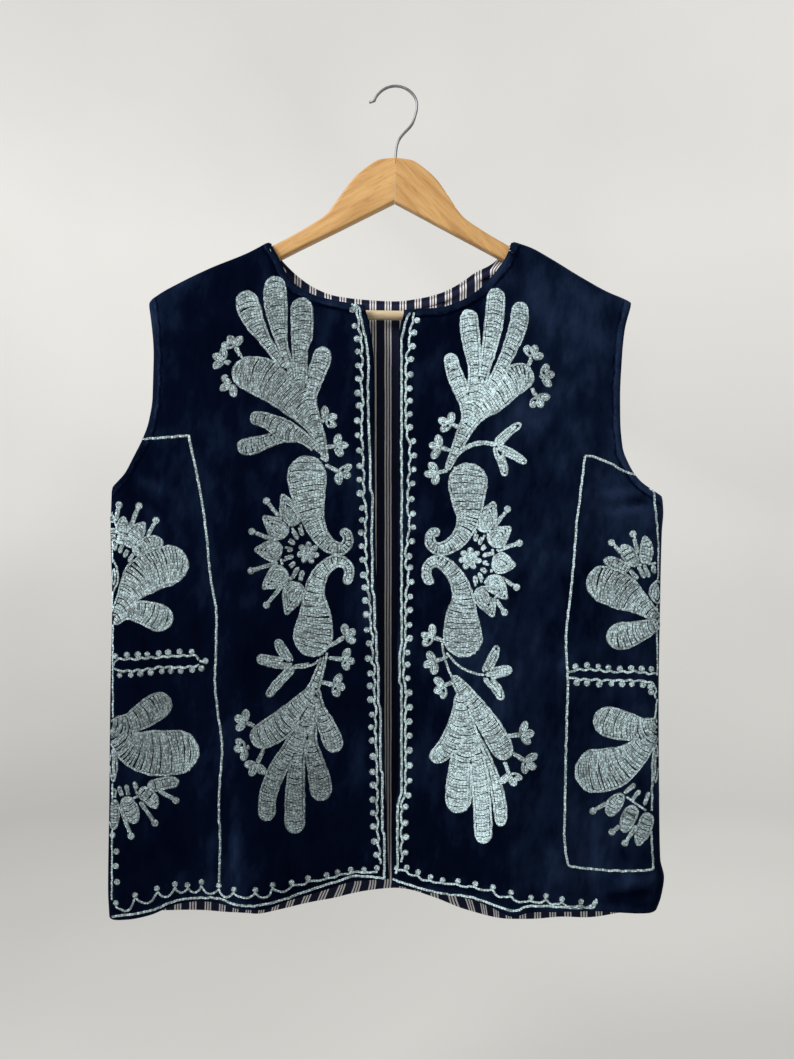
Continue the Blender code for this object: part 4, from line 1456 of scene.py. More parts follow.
def velvet_material():
    """Dark blue pile in soft random patches, with painted sheen: lighter towards the garment's
    left, the top, crease tops, rolls and brushed patches; painted shade in seams, grooves and
    crease troughs.
    """
    made = Shader("velvet", 0.95)
    where = made.coordinates()
    patches = made.noise(where, 8.0, 2.0, 0.5, 0.4)
    brushed = made.noise(made.coordinates((0, 0.12, 0), (1, 1, 0.45)), 60.0, 3.0, 0.62)
    both = made.sum("MULTIPLY", patches, 0.42)
    both = made.sum("ADD", both, made.sum("MULTIPLY", brushed, 0.36))
    both = made.sum("ADD", both, 0.11)
    place = made.node("ShaderNodeSeparateXYZ")
    made.join(where, place.inputs["Vector"])
    # Painted sheen: the pile is painted lighter towards the left front and towards the shoulders
    side = made.level(place.outputs["X"], -0.10, 0.16, -0.030, 0.075)
    rise = made.level(place.outputs["Z"], -0.50, -0.20, 0.0, 0.035)
    # The painted light layer: sheen on crease tops, rolls and brushed patches, shade along seams,
    # grooves and troughs
    painted_light = made.node("ShaderNodeAttribute", attribute_name="painted_light").outputs["Fac"]
    both = made.sum("ADD", made.sum("ADD", both, side), made.sum("ADD", rise, painted_light))
    edge = made.node("ShaderNodeAttribute", attribute_name="edge").outputs["Fac"]
    waver = made.level(made.noise(where, 75.0, 2.0), 0.3, 0.7, -0.0009, 0.0009)
    edge = made.sum("ADD", edge, waver)
    # Painted shade along the stitched line and a painted highlight on the roll beside it, uneven
    # in strength
    seam, roll = made.away(edge, SEAM_INSET), made.away(edge, ROLL_INSET)
    painted_edge_strength = made.level(made.noise(where, 260.0, 1.0), 0.35, 0.65, 0.03, 0.13)
    seam = made.sum("MULTIPLY", made.level(seam, 0.0016, 0.0004), painted_edge_strength)
    roll = made.sum("MULTIPLY", made.level(roll, 0.0016, 0.0003), painted_edge_strength)
    both = made.sum("SUBTRACT", made.sum("ADD", both, roll), seam)
    tone = made.ramp(
        both,
        (0.36, (0.0003, 0.0012, 0.0062)),
        (0.50, (0.0011, 0.0030, 0.0115)),
        (0.60, (0.0042, 0.0092, 0.0260)),
        (0.74, (0.0145, 0.0262, 0.0640)),
    )
    made.colour(tone)
    pile = made.noise(where, 1500.0, 2.0, 0.6)
    made.bump(made.sum("SUBTRACT", pile, made.sum("MULTIPLY", seam, 9.0)), 0.35, 0.0005)
    made.sheen(0.055, 0.30, (0.20, 0.42, 1.0))
    made.shine(0.01)
    return made.material


def thread_material():
    """Pale silvery green thread, with painted shade down between the stitches and each motif's
    painted sheen.
    """
    made = Shader("thread", 0.45)
    where = made.coordinates()
    fine = made.noise(where, 900.0, 2.0, 0.6)
    tone = made.ramp(fine, (0.35, (0.60, 0.775, 0.825)), (0.65, (0.75, 0.955, 1.0)))
    # The tone layer: painted shade at the strands' feet and on the bed, painted highlight on their
    # tops, and each motif's painted sheen
    depth = made.node("ShaderNodeAttribute", attribute_name="tone")
    made.colour(made.blend(1.0, tone, depth.outputs["Fac"], "MULTIPLY"))
    strands = made.noise(made.coordinates((0.6, 0.4, 0.3), (1, 1, 1)), 2200.0, 1.0)
    made.bump(strands, 0.25, 0.0003)
    made.shine(0.5)
    return made.material


def lining_material():
    """Dark blue cotton with groups of three pale stripes on brown."""
    made = Shader("striped_lining", 0.8)
    place = made.node("ShaderNodeUVMap", uv_map="cloth")
    parts = made.node("ShaderNodeSeparateXYZ")
    made.join(place.outputs["UV"], parts.inputs["Vector"])
    wobble = made.noise(made.coordinates(scale=(1, 1, 0.3)), 120.0, 2.0)
    shift = made.level(wobble, 0.3, 0.7, -0.00022, 0.00022)
    across = made.sum("ADD", parts.outputs["X"], shift)
    turn = made.sum("FRACT", made.sum("DIVIDE", across, STRIPE_REPEAT), 0.0)
    gap = made.sum("MULTIPLY", made.sum("SUBTRACT", turn, 0.5), STRIPE_REPEAT)
    gap = made.sum("ABSOLUTE", gap, 0.0)
    near = made.sum("MINIMUM", gap, made.away(gap, STRIPE_LINES))
    line = made.level(near, 0.00086, 0.00056)
    band = made.level(gap, 0.0036, 0.0032)
    weave = made.noise(made.coordinates(scale=(1, 1, 0.25)), 1300.0, 2.0, 0.6)
    navy = made.ramp(weave, (0.3, (0.0030, 0.0050, 0.0210)), (0.7, (0.0075, 0.0115, 0.0420)))
    brown = made.ramp(weave, (0.3, (0.024, 0.019, 0.022)), (0.7, (0.060, 0.048, 0.050)))
    white = made.ramp(weave, (0.3, (0.70, 0.69, 0.72)), (0.7, (0.92, 0.91, 0.92)))
    made.colour(made.blend(line, made.blend(band, navy, brown), white))
    made.bump(weave, 0.2, 0.0002)
    made.sheen(0.05, 0.5, (1, 1, 1))
    made.shine(0.2)
    return made.material


def wood_material(name, turn, pale, dark, fleck=0.22):
    """Beech, with its grain along one direction."""
    made = Shader(name, 0.42)
    along = made.coordinates((0, turn, 0), (0.11, 0.5, 1.0))
    growth = made.noise(along, 115.0, 3.0, 0.55, 0.6)
    fibres = made.noise(made.coordinates((0, turn, 0), (0.05, 1, 1)), 900.0, 2.0, 0.6)
    flecks = made.noise(made.coordinates((0, turn, 0), (0.16, 1, 1)), 520.0, 1.0, 0.4)
    tone = made.ramp(
        made.sum("ADD", made.sum("MULTIPLY", growth, 0.7), made.sum("MULTIPLY", fibres, 0.3)),
        (0.34, dark),
        (0.52, tuple(mix(a, b, 0.6) for a, b in zip(dark, pale))),
        (0.66, pale),
    )
    spots = made.level(flecks, 0.60, 0.68, 0.0, fleck)
    made.colour(made.blend(spots, tone, tuple(0.55 * value for value in dark)))
    made.bump(fibres, 0.12, 0.0002)
    made.shine(0.45)
    return made.material


def steel_material():
    made = Shader("steel_wire", 0.5, 1.0)
    where = made.coordinates()
    wear = made.noise(where, 160.0, 3.0, 0.6)
    made.colour(made.ramp(wear, (0.3, (0.20, 0.205, 0.21)), (0.7, (0.34, 0.345, 0.35))))
    made.join(made.level(wear, 0.3, 0.7, 0.46, 0.60), made.surface.inputs["Roughness"])
    return made.material


def backdrop_material():
    made = Shader("backdrop", 0.9)
    where = made.coordinates()
    place = made.node("ShaderNodeSeparateXYZ")
    made.join(where, place.inputs["Vector"])
    # Painted light: the room is painted darker towards the floor and paler towards the top
    tone = made.ramp(
        made.level(place.outputs["Z"], -1.3, 0.6),
        (0.0, (0.44, 0.44, 0.425)),
        (0.12, (0.56, 0.56, 0.54)),
        (0.45, (0.78, 0.775, 0.755)),
        (1.0, (0.98, 0.975, 0.95)),
    )
    # Painted light: paler towards the right, over random mottling
    across = made.level(place.outputs["X"], -1.8, 1.8, -0.30, 0.30)
    mottle_and_side_light = made.sum("ADD", made.noise(where, 1.3, 2.0), across)
    mottle_and_side_light = made.ramp(mottle_and_side_light, (0.2, (0.88, 0.88, 0.88)), (0.8, (1.0, 1.0, 1.0)))
    made.colour(made.blend(1.0, tone, mottle_and_side_light, "MULTIPLY"))
    # Painted light: the room glows a little of its own
    made.surface.inputs["Emission Color"].default_value = (1.0, 0.995, 0.975, 1.0)
    made.surface.inputs["Emission Strength"].default_value = 0.13
    made.shine(0.1)
    return made.material


# Painted sheen of each motif's thread, for how it lies to the light: the motif's place, then its
# painted sheen
MOTIF_PAINTED_SHEEN = (
    (265, 370, 0.6), (265, 435, 0.45), (320, 490, 0.8), (272, 545, 0.45), (313, 630, 0.5),
    (270, 725, 0.45), (300, 790, 0.3), (345, 660, 0.65), (155, 580, 0.75), (155, 725, 0.35),
    (205, 750, 0.65), (130, 810, 0.5), (360, 600, 0.9), (495, 375, 1.6), (545, 375, 0.45),
    (505, 445, 1.6), (445, 445, 0.95), (462, 490, 0.75), (500, 560, 1.6), (462, 635, 0.75),
    (495, 690, 1.45), (480, 795, 1.65), (530, 750, 0.6), (408, 600, 1.1), (567, 640, 1.1),
    (620, 590, 0.8), (610, 770, 0.9), (630, 820, 0.65),
)

# Painted sheen where the pile is brushed, at picture places: half widths, then how much lighter it
# is painted
PAINTED_NAP_PATCHES = (
    (590, 300, 42, 60, 0.02), (560, 275, 26, 22, 0.02), (585, 400, 30, 50, -0.016),
    (535, 380, 22, 70, 0.01), (545, 640, 26, 120, 0.02), (610, 690, 34, 16, 0.02),
    (520, 860, 60, 26, 0.008), (622, 880, 34, 14, 0.022), (600, 505, 34, 16, 0.04),
    (120, 690, 8, 26, 0.06), (238, 860, 10, 40, 0.05), (180, 250, 40, 16, -0.02),
    (265, 262, 22, 12, 0.03), (195, 390, 26, 44, 0.018), (170, 330, 24, 50, 0.014),
    (385, 330, 14, 40, -0.03),
)

# Creases in the cloth: picture points, half width and how far they stand out, in metres
RIGHT_CREASES = rows(
    Crease, (((236, 760), (236.5, 800), (237, 840), (238, 885)), 0.0075, 0.0019),
    (((226, 775), (226, 830), (227, 884)), 0.0045, -0.0014),
    (((262, 262), (268, 300), (270, 345)), 0.011, 0.0011),
    (((133, 470), (152, 486), (178, 498)), 0.006, 0.0014),
    (((126, 492), (150, 502), (170, 520)), 0.0045, -0.0013),
)
LEFT_CREASES = rows(
    Crease, (((604.8, 901), (622, 897.5), (639.4, 893.5), (653.4, 891.5)), 0.004, -0.0027),
    (((612, 888), (636, 880), (663, 876)), 0.008, 0.0021),
    (((600, 496), (615, 494), (627, 493), (640, 490)), 0.0045, 0.0026),
    (((606, 517), (619, 512), (634, 509), (650, 509)), 0.0045, 0.0026),
    (((628, 505), (638, 501), (649, 501)), 0.004, -0.0022),
    (((597, 805), (597, 850), (597.5, 895)), 0.0075, 0.0016),
    (((537, 250), (538, 285), (537, 330)), 0.011, 0.0012),
)
BACK_CREASES = rows(
    Crease, (((205, 700), (207, 790), (209, 905)), 0.012, 0.0016),
    (((470, 640), (468, 760), (465, 905)), 0.013, 0.0015),
    (((330, 730), (332, 810), (334, 905)), 0.01, -0.0012),
    (((590, 700), (588, 800), (585, 905)), 0.011, 0.0014),
    (((135, 480), (165, 470), (215, 455)), 0.008, 0.0012),
    (((640, 492), (610, 480), (560, 462)), 0.008, 0.0012),
    (((140, 505), (175, 500), (205, 492)), 0.0055, -0.001),
    (((636, 512), (604, 506), (580, 498)), 0.0055, -0.001),
    (((300, 300), (390, 306), (490, 300)), 0.011, 0.001),
)

# A paisley: a plump body whose tail curls round to the side, as half widths along its middle
PAISLEY = (15.5, 19.8, 16.4, 11.5, 9.0, 7.6, 6.4, 5.3, 5.0, 5.2)
Flower = namedtuple("Flower", "x y side wide high petals stamens")
Design = namedtuple("Design", "paisleys flower fronds sprigs stamens fingers")

# The motifs are worked in groups of petals that grow into one another. A petal runs from its
# tip to its foot. A sprig has its flower's place and its stem's foot; a stamen or a finger
# has its head and its foot.
RIGHT_PAISLEYS = (
    (
        (308, 456), (307, 477), (309, 498), (313, 519), (320, 535), (330, 546), (341, 549),
        (348, 543), (347, 534), (340, 532),
    ),
    (
        (309, 656), (313, 636), (315, 616), (314, 598), (317, 581), (325, 568), (337, 561),
        (348, 566), (349, 576), (346, 584),
    ),
)
RIGHT_FRONDS = (
    (
        ((244, 291.5, 11), (249.5, 310, 11.8), (256, 325, 9.4), (266, 341, 6), (286, 368, 5)),
        ((275, 276.5, 10.5), (275.5, 300, 11.8), (279.5, 330, 8.3), (284, 350, 5), (292, 378, 5)),
        ((302, 298, 10.5), (302, 317, 11.5), (302, 335, 11), (300, 352, 8), (301, 392, 7)),
        ((324, 347, 8.5), (321, 361, 9.5), (314, 381, 8.5), (310, 400, 7), (317, 434, 5)),
        ((232.5, 370, 14), (266, 379, 20), (297, 402, 17), (316, 430, 8), (327, 462, 3)),
    ),
    (
        ((250.5, 417, 6.5), (268, 421, 8.2), (286, 431, 11), (304, 438.5, 6), (328, 461, 3)),
        ((237.5, 447, 7.5), (252, 446, 9), (268, 441, 7), (286, 434, 7)),
    ),
    (
        ((277, 639.5, 4.5), (282, 650, 5.4), (291, 663, 5.4)),
        ((257, 658, 5), (271, 661.5, 6), (292, 665, 5.4)),
        ((267.5, 696.5, 4), (278, 683.5, 5), (293, 667, 4.4)),
        ((292, 667, 2.4), (308, 665, 2.4), (317, 660, 2.4), (329, 646, 2.4)),
    ),
    (
        ((266.5, 820.5, 8.5), (268.5, 794, 9), (278, 769, 9.3), (291, 747, 8), (317, 695, 4.5)),
        ((295, 833, 9.5), (294.8, 812, 10.5), (296, 778, 9), (300, 750, 6.5), (315, 703, 4)),
        (
            (320.5, 800.5, 11), (320.5, 785, 11.3), (316, 764, 9.3), (311.5, 741, 6),
            (313, 712, 4.5),
        ),
        ((335.5, 752, 9), (332.5, 740, 10), (325.5, 723, 8.6), (319.5, 705, 4.5), (317, 688, 3.5)),
        ((252, 742, 12), (278, 727, 14), (298, 707, 10), (314, 687, 6), (327.5, 645, 2.8)),
    ),
    (
        ((188.5, 564, 14), (166, 566, 20.5), (143, 577, 19.5), (126, 598, 10), (112, 622, 4)),
        ((172.5, 622, 9), (158, 617.5, 14), (141, 612, 11.5), (126, 612, 8), (112, 623, 5)),
    ),
    (
        ((171.5, 702, 10), (158, 706, 13.8), (141, 717, 12.5), (126, 724, 9.5), (111, 724, 9)),
        ((199, 752, 16), (180, 752, 22), (155, 753, 23), (133, 748, 18), (111, 728, 8)),
    ),
    (
        ((112, 514, 2), (113, 530, 5), (114, 541, 5)),
        ((123, 516.5, 3), (122.5, 530, 7), (120, 544, 7)),
        ((145, 523, 2), (137, 532, 8.4), (127, 546, 8.6)),
        ((163, 543, 4), (150, 542.5, 7.4), (134, 553, 7.6)),
    ),
    (
        ((179, 781.5, 5), (166, 783, 6.2), (148, 787, 6.4)),
        ((157, 809, 1.8), (151, 799, 7.6), (140, 789, 7)),
        ((136, 823, 3.5), (131, 812, 8.6), (125, 797, 7)),
        ((113.5, 830, 3), (114, 815, 6), (114, 800, 6)),
    ),
    (((114, 559, 1.5), (114, 577, 5.2), (113, 594, 1.5)),),
    (((114, 744, 1.5), (113.5, 765, 4.6), (113, 783, 1.5)),),
)
RIGHT_SPRIGS = (
    (233, 342, 243, 361), (220, 359, 240, 368), (228, 386, 241, 378), (329, 418, 317, 424),
    (340, 445, 327, 447), (343, 474, 328, 466), (349, 634, 332, 645), (348, 660, 331, 658),
    (338, 686, 321, 682), (242, 720, 255, 727), (241, 749, 254, 746), (255, 768, 263, 751),
)
RIGHT_STAMENS = (
    (119, 505, 116, 522), (139, 506, 130, 528), (156, 520.5, 147, 537), (176, 800.5, 158, 790),
    (155, 823, 140, 801), (131, 836, 121, 808),
)
RIGHT_FINGERS = (
    (114.5, 551, 116, 541), (119.5, 553, 123, 543), (124, 558, 129, 547), (128, 562, 135, 552),
    (134, 782, 138, 793), (126, 785, 129, 797), (119, 786, 123, 800), (114, 788, 115, 801),
)
RIGHT_DESIGN = Design(
    RIGHT_PAISLEYS, Flower(308, 553, -1, 51, 64, (-61, -33, -3, 32, 66), (-45, -17, 14, 45)),
    RIGHT_FRONDS, RIGHT_SPRIGS, RIGHT_STAMENS, RIGHT_FINGERS,
)
RIGHT_LINES = (
    ((140, 439), (165, 437.5), (188, 435.5)),
    ((188.5, 435.5), (200, 490), (206, 530), (210, 573), (216, 610), (216, 650)),
    (
        (216, 650), (215, 683), (218, 713), (221, 733), (222, 756), (219, 799), (220, 846),
        (219, 882),
    ),
    ((112.5, 512), (113, 600), (113, 700), (112.5, 800), (112, 900)),
    ((150, 787), (139, 796), (128, 800), (114, 803)), ((199.5, 660.5), (203, 662), (205, 661)),
)
RIGHT_TAPES = (
    (((114, 666), (117, 660.5), (136, 659.5), (160, 658), (192, 656), (200, 661)), -1),
    (((114, 668), (120, 670.5), (140, 669.5), (165, 666.5), (185, 666.5), (200, 664.5)), 1),
)
RIGHT_INNER = (
    (356.5, 304), (359, 323), (362.4, 346), (362, 388), (363.2, 402), (362, 430), (364, 470),
    (364.5, 497), (367, 511), (366, 530), (367, 569), (371, 610), (374, 636), (376.5, 690),
    (376, 723), (377.5, 771), (378, 829), (382, 867),
)
RIGHT_OUTER = (
    (359, 304), (362, 323), (367, 346), (368.5, 368), (368, 398), (370, 457), (372.5, 500),
    (372, 547), (376.5, 610), (381, 683), (384, 726), (383, 795), (385.5, 829), (386, 864),
    (384.6, 878),
)
RIGHT_HEM_KNOTS = (
    (377, 868), (364, 869.5), (350.7, 869.5), (337.6, 872), (326.6, 875), (308, 878),
    (291.6, 882.5), (272.7, 885), (255.5, 890), (234, 889.5), (219, 885.5), (201.5, 882),
    (187.5, 885), (175, 884), (157, 888.5), (135, 895), (116, 903),
)
RIGHT_KNOBS = (
    (205.5, 661), (201.5, 668.5), (112.6, 835), (116.6, 851.5), (116, 866), (117.2, 882),
)
RIGHT_HEM_OUTER = (
    (384.6, 878.5), (356, 876), (335, 882), (301, 893), (275, 902), (249, 906), (232, 903.5),
    (215, 898), (179, 900), (149, 911), (112, 917),
)

LEFT_PAISLEYS = (
    (
        (469, 463), (468, 482), (468, 501), (468, 520), (461, 536), (450, 546), (438, 549),
        (430, 542), (432, 533), (440, 533),
    ),
    (
        (465, 657), (463, 637), (462, 617), (463, 599), (459, 582), (449, 568), (438, 561),
        (428, 566), (427, 577), (432, 584),
    ),
)
LEFT_FRONDS = (
    (
        ((496.5, 288.5, 9), (494.5, 318, 9.7), (489.5, 348, 7.8), (484, 372, 5.5), (476, 404, 5)),
        ((520.5, 302, 8), (518.5, 325, 9.3), (510.5, 347, 7.8), (502, 366, 6.5), (488, 392, 6)),
        ((469, 309.5, 8.5), (469.3, 325, 9.6), (472, 347, 8.8), (474.5, 370, 6.5), (473, 405, 7)),
        ((450, 353.5, 7), (453, 369, 7.8), (459.5, 386, 8.4), (466, 404, 6.5), (467, 424, 5)),
        ((534, 377, 12), (516, 379, 15.5), (493, 396, 16.5), (471, 419, 9.5), (447, 470, 3.2)),
    ),
    (
        ((521, 424, 3.6), (510, 431, 4.4), (496, 445, 5.2)),
        ((526, 463, 3.8), (514, 455, 4.6), (496, 447, 5.2)),
        ((505, 476, 3.6), (503, 465, 4.6), (496, 446, 5.2)),
        ((497, 444.5, 2.4), (481, 443, 2.2), (465, 448, 2.2), (450, 463, 2.4)),
    ),
    (
        ((498, 646, 3), (493, 657, 5), (485, 673, 5)),
        ((512, 669, 5), (500, 672, 5.8), (484, 675, 5)),
        ((502, 700, 3.4), (497, 689, 5.2), (485, 676, 5)),
    ),
    (
        ((431, 759, 7.5), (441, 753, 9), (452, 738, 10), (459, 715, 8), (461, 692, 6)),
        ((459, 812.5, 12.5), (458.5, 792, 13.2), (460.5, 768, 12), (465, 735, 9), (463, 702, 6)),
        ((483, 843, 8.5), (483, 822, 9.2), (481, 790, 9), (476, 755, 8), (467, 715, 5)),
        ((501, 826, 5.5), (500, 806, 7), (495, 782, 6.2), (487, 758, 4.6), (472, 728, 3.6)),
        (
            (507.5, 759, 8), (500, 744, 11.5), (489, 725, 11), (474, 704, 9), (461, 687, 7),
            (453, 676, 4),
        ),
    ),
    (
        ((586.5, 583, 13), (602, 584, 18.5), (620, 591, 18.5), (640, 604, 11), (660, 620, 4)),
        ((606.5, 635, 10), (622, 636, 13.8), (640, 631, 10.5), (660, 623, 5)),
    ),
    (
        ((594, 717, 12), (610, 722, 15.5), (630, 727, 14), (645, 727, 9), (660, 721, 5)),
        ((575, 771, 17), (592, 771, 22), (612, 768, 21), (634, 755, 14), (660, 726, 5)),
    ),
    (
        ((603.5, 560, 3.5), (614, 563, 6), (629, 570, 6)),
        ((621.5, 545, 3.6), (629, 555, 7.6), (636, 566, 6.5)),
        ((644.5, 536, 2.5), (646.5, 549, 6.9), (645, 564, 6.4)),
    ),
    (
        ((609, 816, 4), (614, 805, 8), (623, 794, 5)),
        ((623, 832, 4), (629, 817, 8), (635, 806, 6)),
        ((637, 845, 3), (644, 829, 8), (649, 813, 6.5)),
    ),
    (((656, 744, 1.5), (655, 763, 4.4), (655, 783, 1.5)),),
    (((658, 580, 2), (655.5, 592, 7), (658, 604, 2)),),
)
LEFT_SPRIGS = (
    (534, 353, 529, 364), (547, 376, 535, 378), (539, 401, 531, 387), (447, 422, 460, 428),
    (436, 446, 452, 451), (433, 474, 448, 470), (429, 636, 443, 641), (431, 663, 445, 658),
    (440, 688, 452, 682), (526, 734, 506, 736), (529, 763, 511, 752), (511, 779, 503, 757),
)
LEFT_STAMENS = (
    (611.5, 542.5, 625, 557), (633, 534, 638, 554), (593, 811, 608, 802), (612, 832, 621, 825),
    (625, 843, 637, 825),
)
LEFT_FINGERS = (
    (637.5, 579, 631, 571), (645, 578, 639, 568), (649, 577, 645, 567), (654, 574, 653, 566),
    (635, 784, 626, 792), (640, 790, 633, 799), (649, 792, 645, 803),
)
LEFT_DESIGN = Design(
    LEFT_PAISLEYS, Flower(470, 558.5, 1, 44, 64, (-58, -28, 6, 37, 60), (-42, -12, 23, 47)),
    LEFT_FRONDS, LEFT_SPRIGS, LEFT_STAMENS, LEFT_FINGERS,
)
LEFT_LINES = (
    ((585, 456), (581, 490), (576.5, 526), (573, 570), (567, 625), (566, 641), (568, 686)),
    ((568, 684), (566, 753), (565, 805), (564.5, 836), (568, 863), (577, 867), (598, 869.6)),
    ((598, 869.6), (624, 871), (650, 869.6), (653, 865), (651.5, 832), (653, 753), (656.5, 699)),
    ((585, 456), (595, 457), (611, 463.6), (624, 471.5), (635, 475), (646, 485), (654, 492)),
    ((654, 492), (655, 506), (657, 526), (658, 562), (657, 617), (657, 675)),
    ((627, 570), (634, 566.5), (645, 564.5), (656, 563)), ((622, 793), (636, 804), (649, 812)),
    ((442, 640), (444, 655), (448, 668), (453, 680)),
    ((447, 653), (459, 666), (472, 672.5), (484, 675)), ((592, 904.5), (597, 903), (596, 899)),
)
LEFT_TAPES = (
    (((568, 672.4), (587, 670), (614, 672.4), (635, 672.4), (657, 674.8)), -1),
    (((568.6, 678), (603, 679.6), (651, 682), (656, 699)), 1),
)
LEFT_INNER = (
    (415, 310), (409.7, 331), (408.7, 346), (405.7, 366), (405.7, 428), (409.5, 445), (408, 485),
    (407, 505), (409, 527), (404.5, 560), (408, 575), (405.2, 600), (405, 622), (402.6, 640),
    (402.6, 691), (401, 745), (398, 772), (397, 810), (396, 850), (393, 866),
)
LEFT_OUTER = (
    (411, 310), (404.7, 325), (401, 346), (401, 388), (401.4, 418), (400.4, 457), (402, 500),
    (399, 529), (398, 565), (399.8, 610), (397, 660), (396, 709), (393.2, 726), (393, 790),
    (391, 876),
)
LEFT_HEM_KNOTS = (
    (395.8, 867), (406.7, 867.5), (418, 872), (430.5, 877), (442.7, 880), (458, 881),
    (475.4, 883.7), (493, 887), (511, 892.5), (531, 897.5), (546, 896), (562, 899), (581, 901.5),
    (595, 903),
)
LEFT_HEM_OUTER = (
    (391, 878), (400, 882), (426, 889.7), (448, 894), (469, 896.6), (486, 902), (514, 911),
    (531, 906), (581, 908), (592, 905),
)
# The back's own design repeats the fronts' motifs on both sides of its middle
BACK_MIDDLE = 388.0
BACK_SPINE = ((374, 262), (372, 330), (374, 430), (372, 540), (374, 650), (373, 760), (374, 880))
BACK_SIDE_LINE = ((219, 450), (222, 560), (224, 650), (226, 740), (223, 840), (222, 885))
BACK_HEM_INNER = ((374, 884), (330, 886), (280, 893), (225, 889), (175, 894), (112, 904))
BACK_HEM_OUTER = ((374, 894), (330, 897), (280, 904), (225, 900), (175, 905), (112, 915))


def work_flower(needle, flower):
    """Work a half flower: a round, short bars, an arc, petals and stamens fanned to one side."""

    def place(share, degrees, *half):
        angle = math.radians(degrees)
        across = flower.side * flower.wide * share * math.cos(angle)
        return (flower.x + across, flower.y + flower.high * share * math.sin(angle), *half)

    needle.rosette(flower.x, flower.y)
    petals = []
    for degrees in flower.petals:
        shape = ((1.07, 0.8), (0.95, 5.0), (0.80, 9.6), (0.65, 12.0), (0.50, 11.0))
        petals.append(Blob(*(place(share, degrees, half) for share, half in shape)))
    needle.shapes(petals, "rings")
    for degrees in flower.stamens:
        needle.stamen(*place(1.15, degrees), *place(0.60, degrees))
    needle.line([place(0.53, degrees) for degrees in np.linspace(-80, 80, 9)])
    for degrees in np.linspace(-70, 72, 8):
        needle.finger(*place(0.29, degrees * 0.95), *place(0.52, degrees))


def work_edging(needle, line, side, pitch=14.2, start=9.0, radius=3.5):
    """Work a line with small rounds beside it, spaced about evenly."""
    path, lengths = smooth_line(line)
    aside = steps_along(path)[1] * side
    pull = np.zeros(len(path))
    mark = start
    while mark < lengths[-1] - 3:
        k = int(np.searchsorted(lengths, mark).clip(0, len(path) - 1))
        spot = path[k] + aside[k] * (ROUND_OFFSET + needle.random.uniform(-0.3, 0.7))
        needle.knob(*spot, radius * needle.random.uniform(0.90, 1.08))
        pull += np.exp(-(((lengths - mark - 3.4) / 2.0) ** 2))
        mark += pitch * needle.random.uniform(0.88, 1.12)
    needle.line((path + aside * pull[:, None] * 1.9)[::3], width=2.3)


def work_garland(needle, knots, dip):
    """Work a hem's garland: small upright rounds joined by a line that sags between them."""
    line = []
    for (x, y), after in zip(knots, knots[1:] + (None,)):
        needle.knob(x, y, 3.2)
        line.append((x, y + 3.2))
        if after:
            low = max(y, after[1]) + dip(x) + needle.random.uniform(-0.6, 0.6)
            for share, drop in ((0.16, 0.62), (0.40, 1.0), (0.66, 0.94), (0.88, 0.52)):
                top = mix(y, after[1], share) + 3.2
                line.append((mix(x, after[0], share), mix(top, low, drop)))
    needle.line(line, width=2.1)


def work_design(needle, design, lines):
    """Work a panel's motifs, then its plain lines."""
    for line in design.paisleys:
        needle.shapes([Blob(*((x, y, half) for (x, y), half in zip(line, PAISLEY)))], bow=0.20)
    work_flower(needle, design.flower)
    for group in design.fronds:
        needle.shapes([Blob(*petal) for petal in group])
    for sprig in design.sprigs:
        needle.sprig(*sprig)
    for stamen in design.stamens:
        needle.stamen(*stamen)
    for finger in design.fingers:
        needle.finger(*finger)
    for line in lines:
        needle.line(line)


def work_tapes(needle, tapes, pitch, start):
    for line, side in tapes:
        work_edging(needle, line, side, pitch=pitch, start=start, radius=3.4)


def work_borders(needle, panel, side, inner, outer):
    """Work the rounds and the line down a front's edge, kept on its cloth."""
    work_edging(needle, panel.keep_on(inner, 6.0), side)
    needle.line(panel.keep_on(outer, 2.6))


def work_right_front(needle, panel):
    work_design(needle, RIGHT_DESIGN, RIGHT_LINES)
    work_tapes(needle, RIGHT_TAPES, 10.8, 6.0)
    for x, y in RIGHT_KNOBS:
        needle.knob(x, y, 3.5)
    work_borders(needle, panel, 1, RIGHT_INNER, RIGHT_OUTER)
    work_garland(needle, RIGHT_HEM_KNOTS, lambda x: 2.5 + 5.5 * ease((310 - x) / 30))
    needle.line(RIGHT_HEM_OUTER)


def work_left_front(needle, panel):
    work_design(needle, LEFT_DESIGN, LEFT_LINES)
    work_tapes(needle, LEFT_TAPES, 11.0, 8.0)
    work_borders(needle, panel, -1, LEFT_INNER, LEFT_OUTER)
    work_garland(needle, LEFT_HEM_KNOTS, lambda x: 3.0 + 2.0 * ease((x - 460) / 40))
    needle.line(LEFT_HEM_OUTER)


def work_back_half(needle, _):
    work_design(needle, RIGHT_DESIGN, ())
    work_tapes(needle, RIGHT_TAPES, 10.8, 6.0)
    needle.line(BACK_SIDE_LINE)
    work_edging(needle, BACK_SPINE, 1)
    work_edging(needle, BACK_HEM_INNER, 1, pitch=16.5, start=14.0)
    needle.line(BACK_HEM_OUTER)


def work_back_and_spine(needle, panel):
    work_back_half(needle, panel)
    for k in range(13):
        y = 285 + 46 * k
        needle.rosette(BACK_MIDDLE, y, 8.6, 6)
        needle.sprig(BACK_MIDDLE, y + 20, BACK_MIDDLE, y + 28)


def front_seams(front, grid):
    """Return a front's border lines: free edges and sewn seams."""
    seam_end = min(abs(spot.across) for spot in front.shoulder)
    top = border(grid, "top")
    outer = border(grid, "outer")
    underarm = front.side[0].height
    return [
        (border(grid, "inner"), "plain"),
        (border(grid, "hem"), "plain"),
        (top[np.abs(top[:, 0]) <= seam_end + 1e-6], "stitched"),
        (top[np.abs(top[:, 0]) >= seam_end - 1e-6], "sewn"),
        (outer[outer[:, 1] >= underarm - 1e-6], "stitched"),
        (outer[outer[:, 1] <= underarm + 1e-6], "sewn"),
    ]


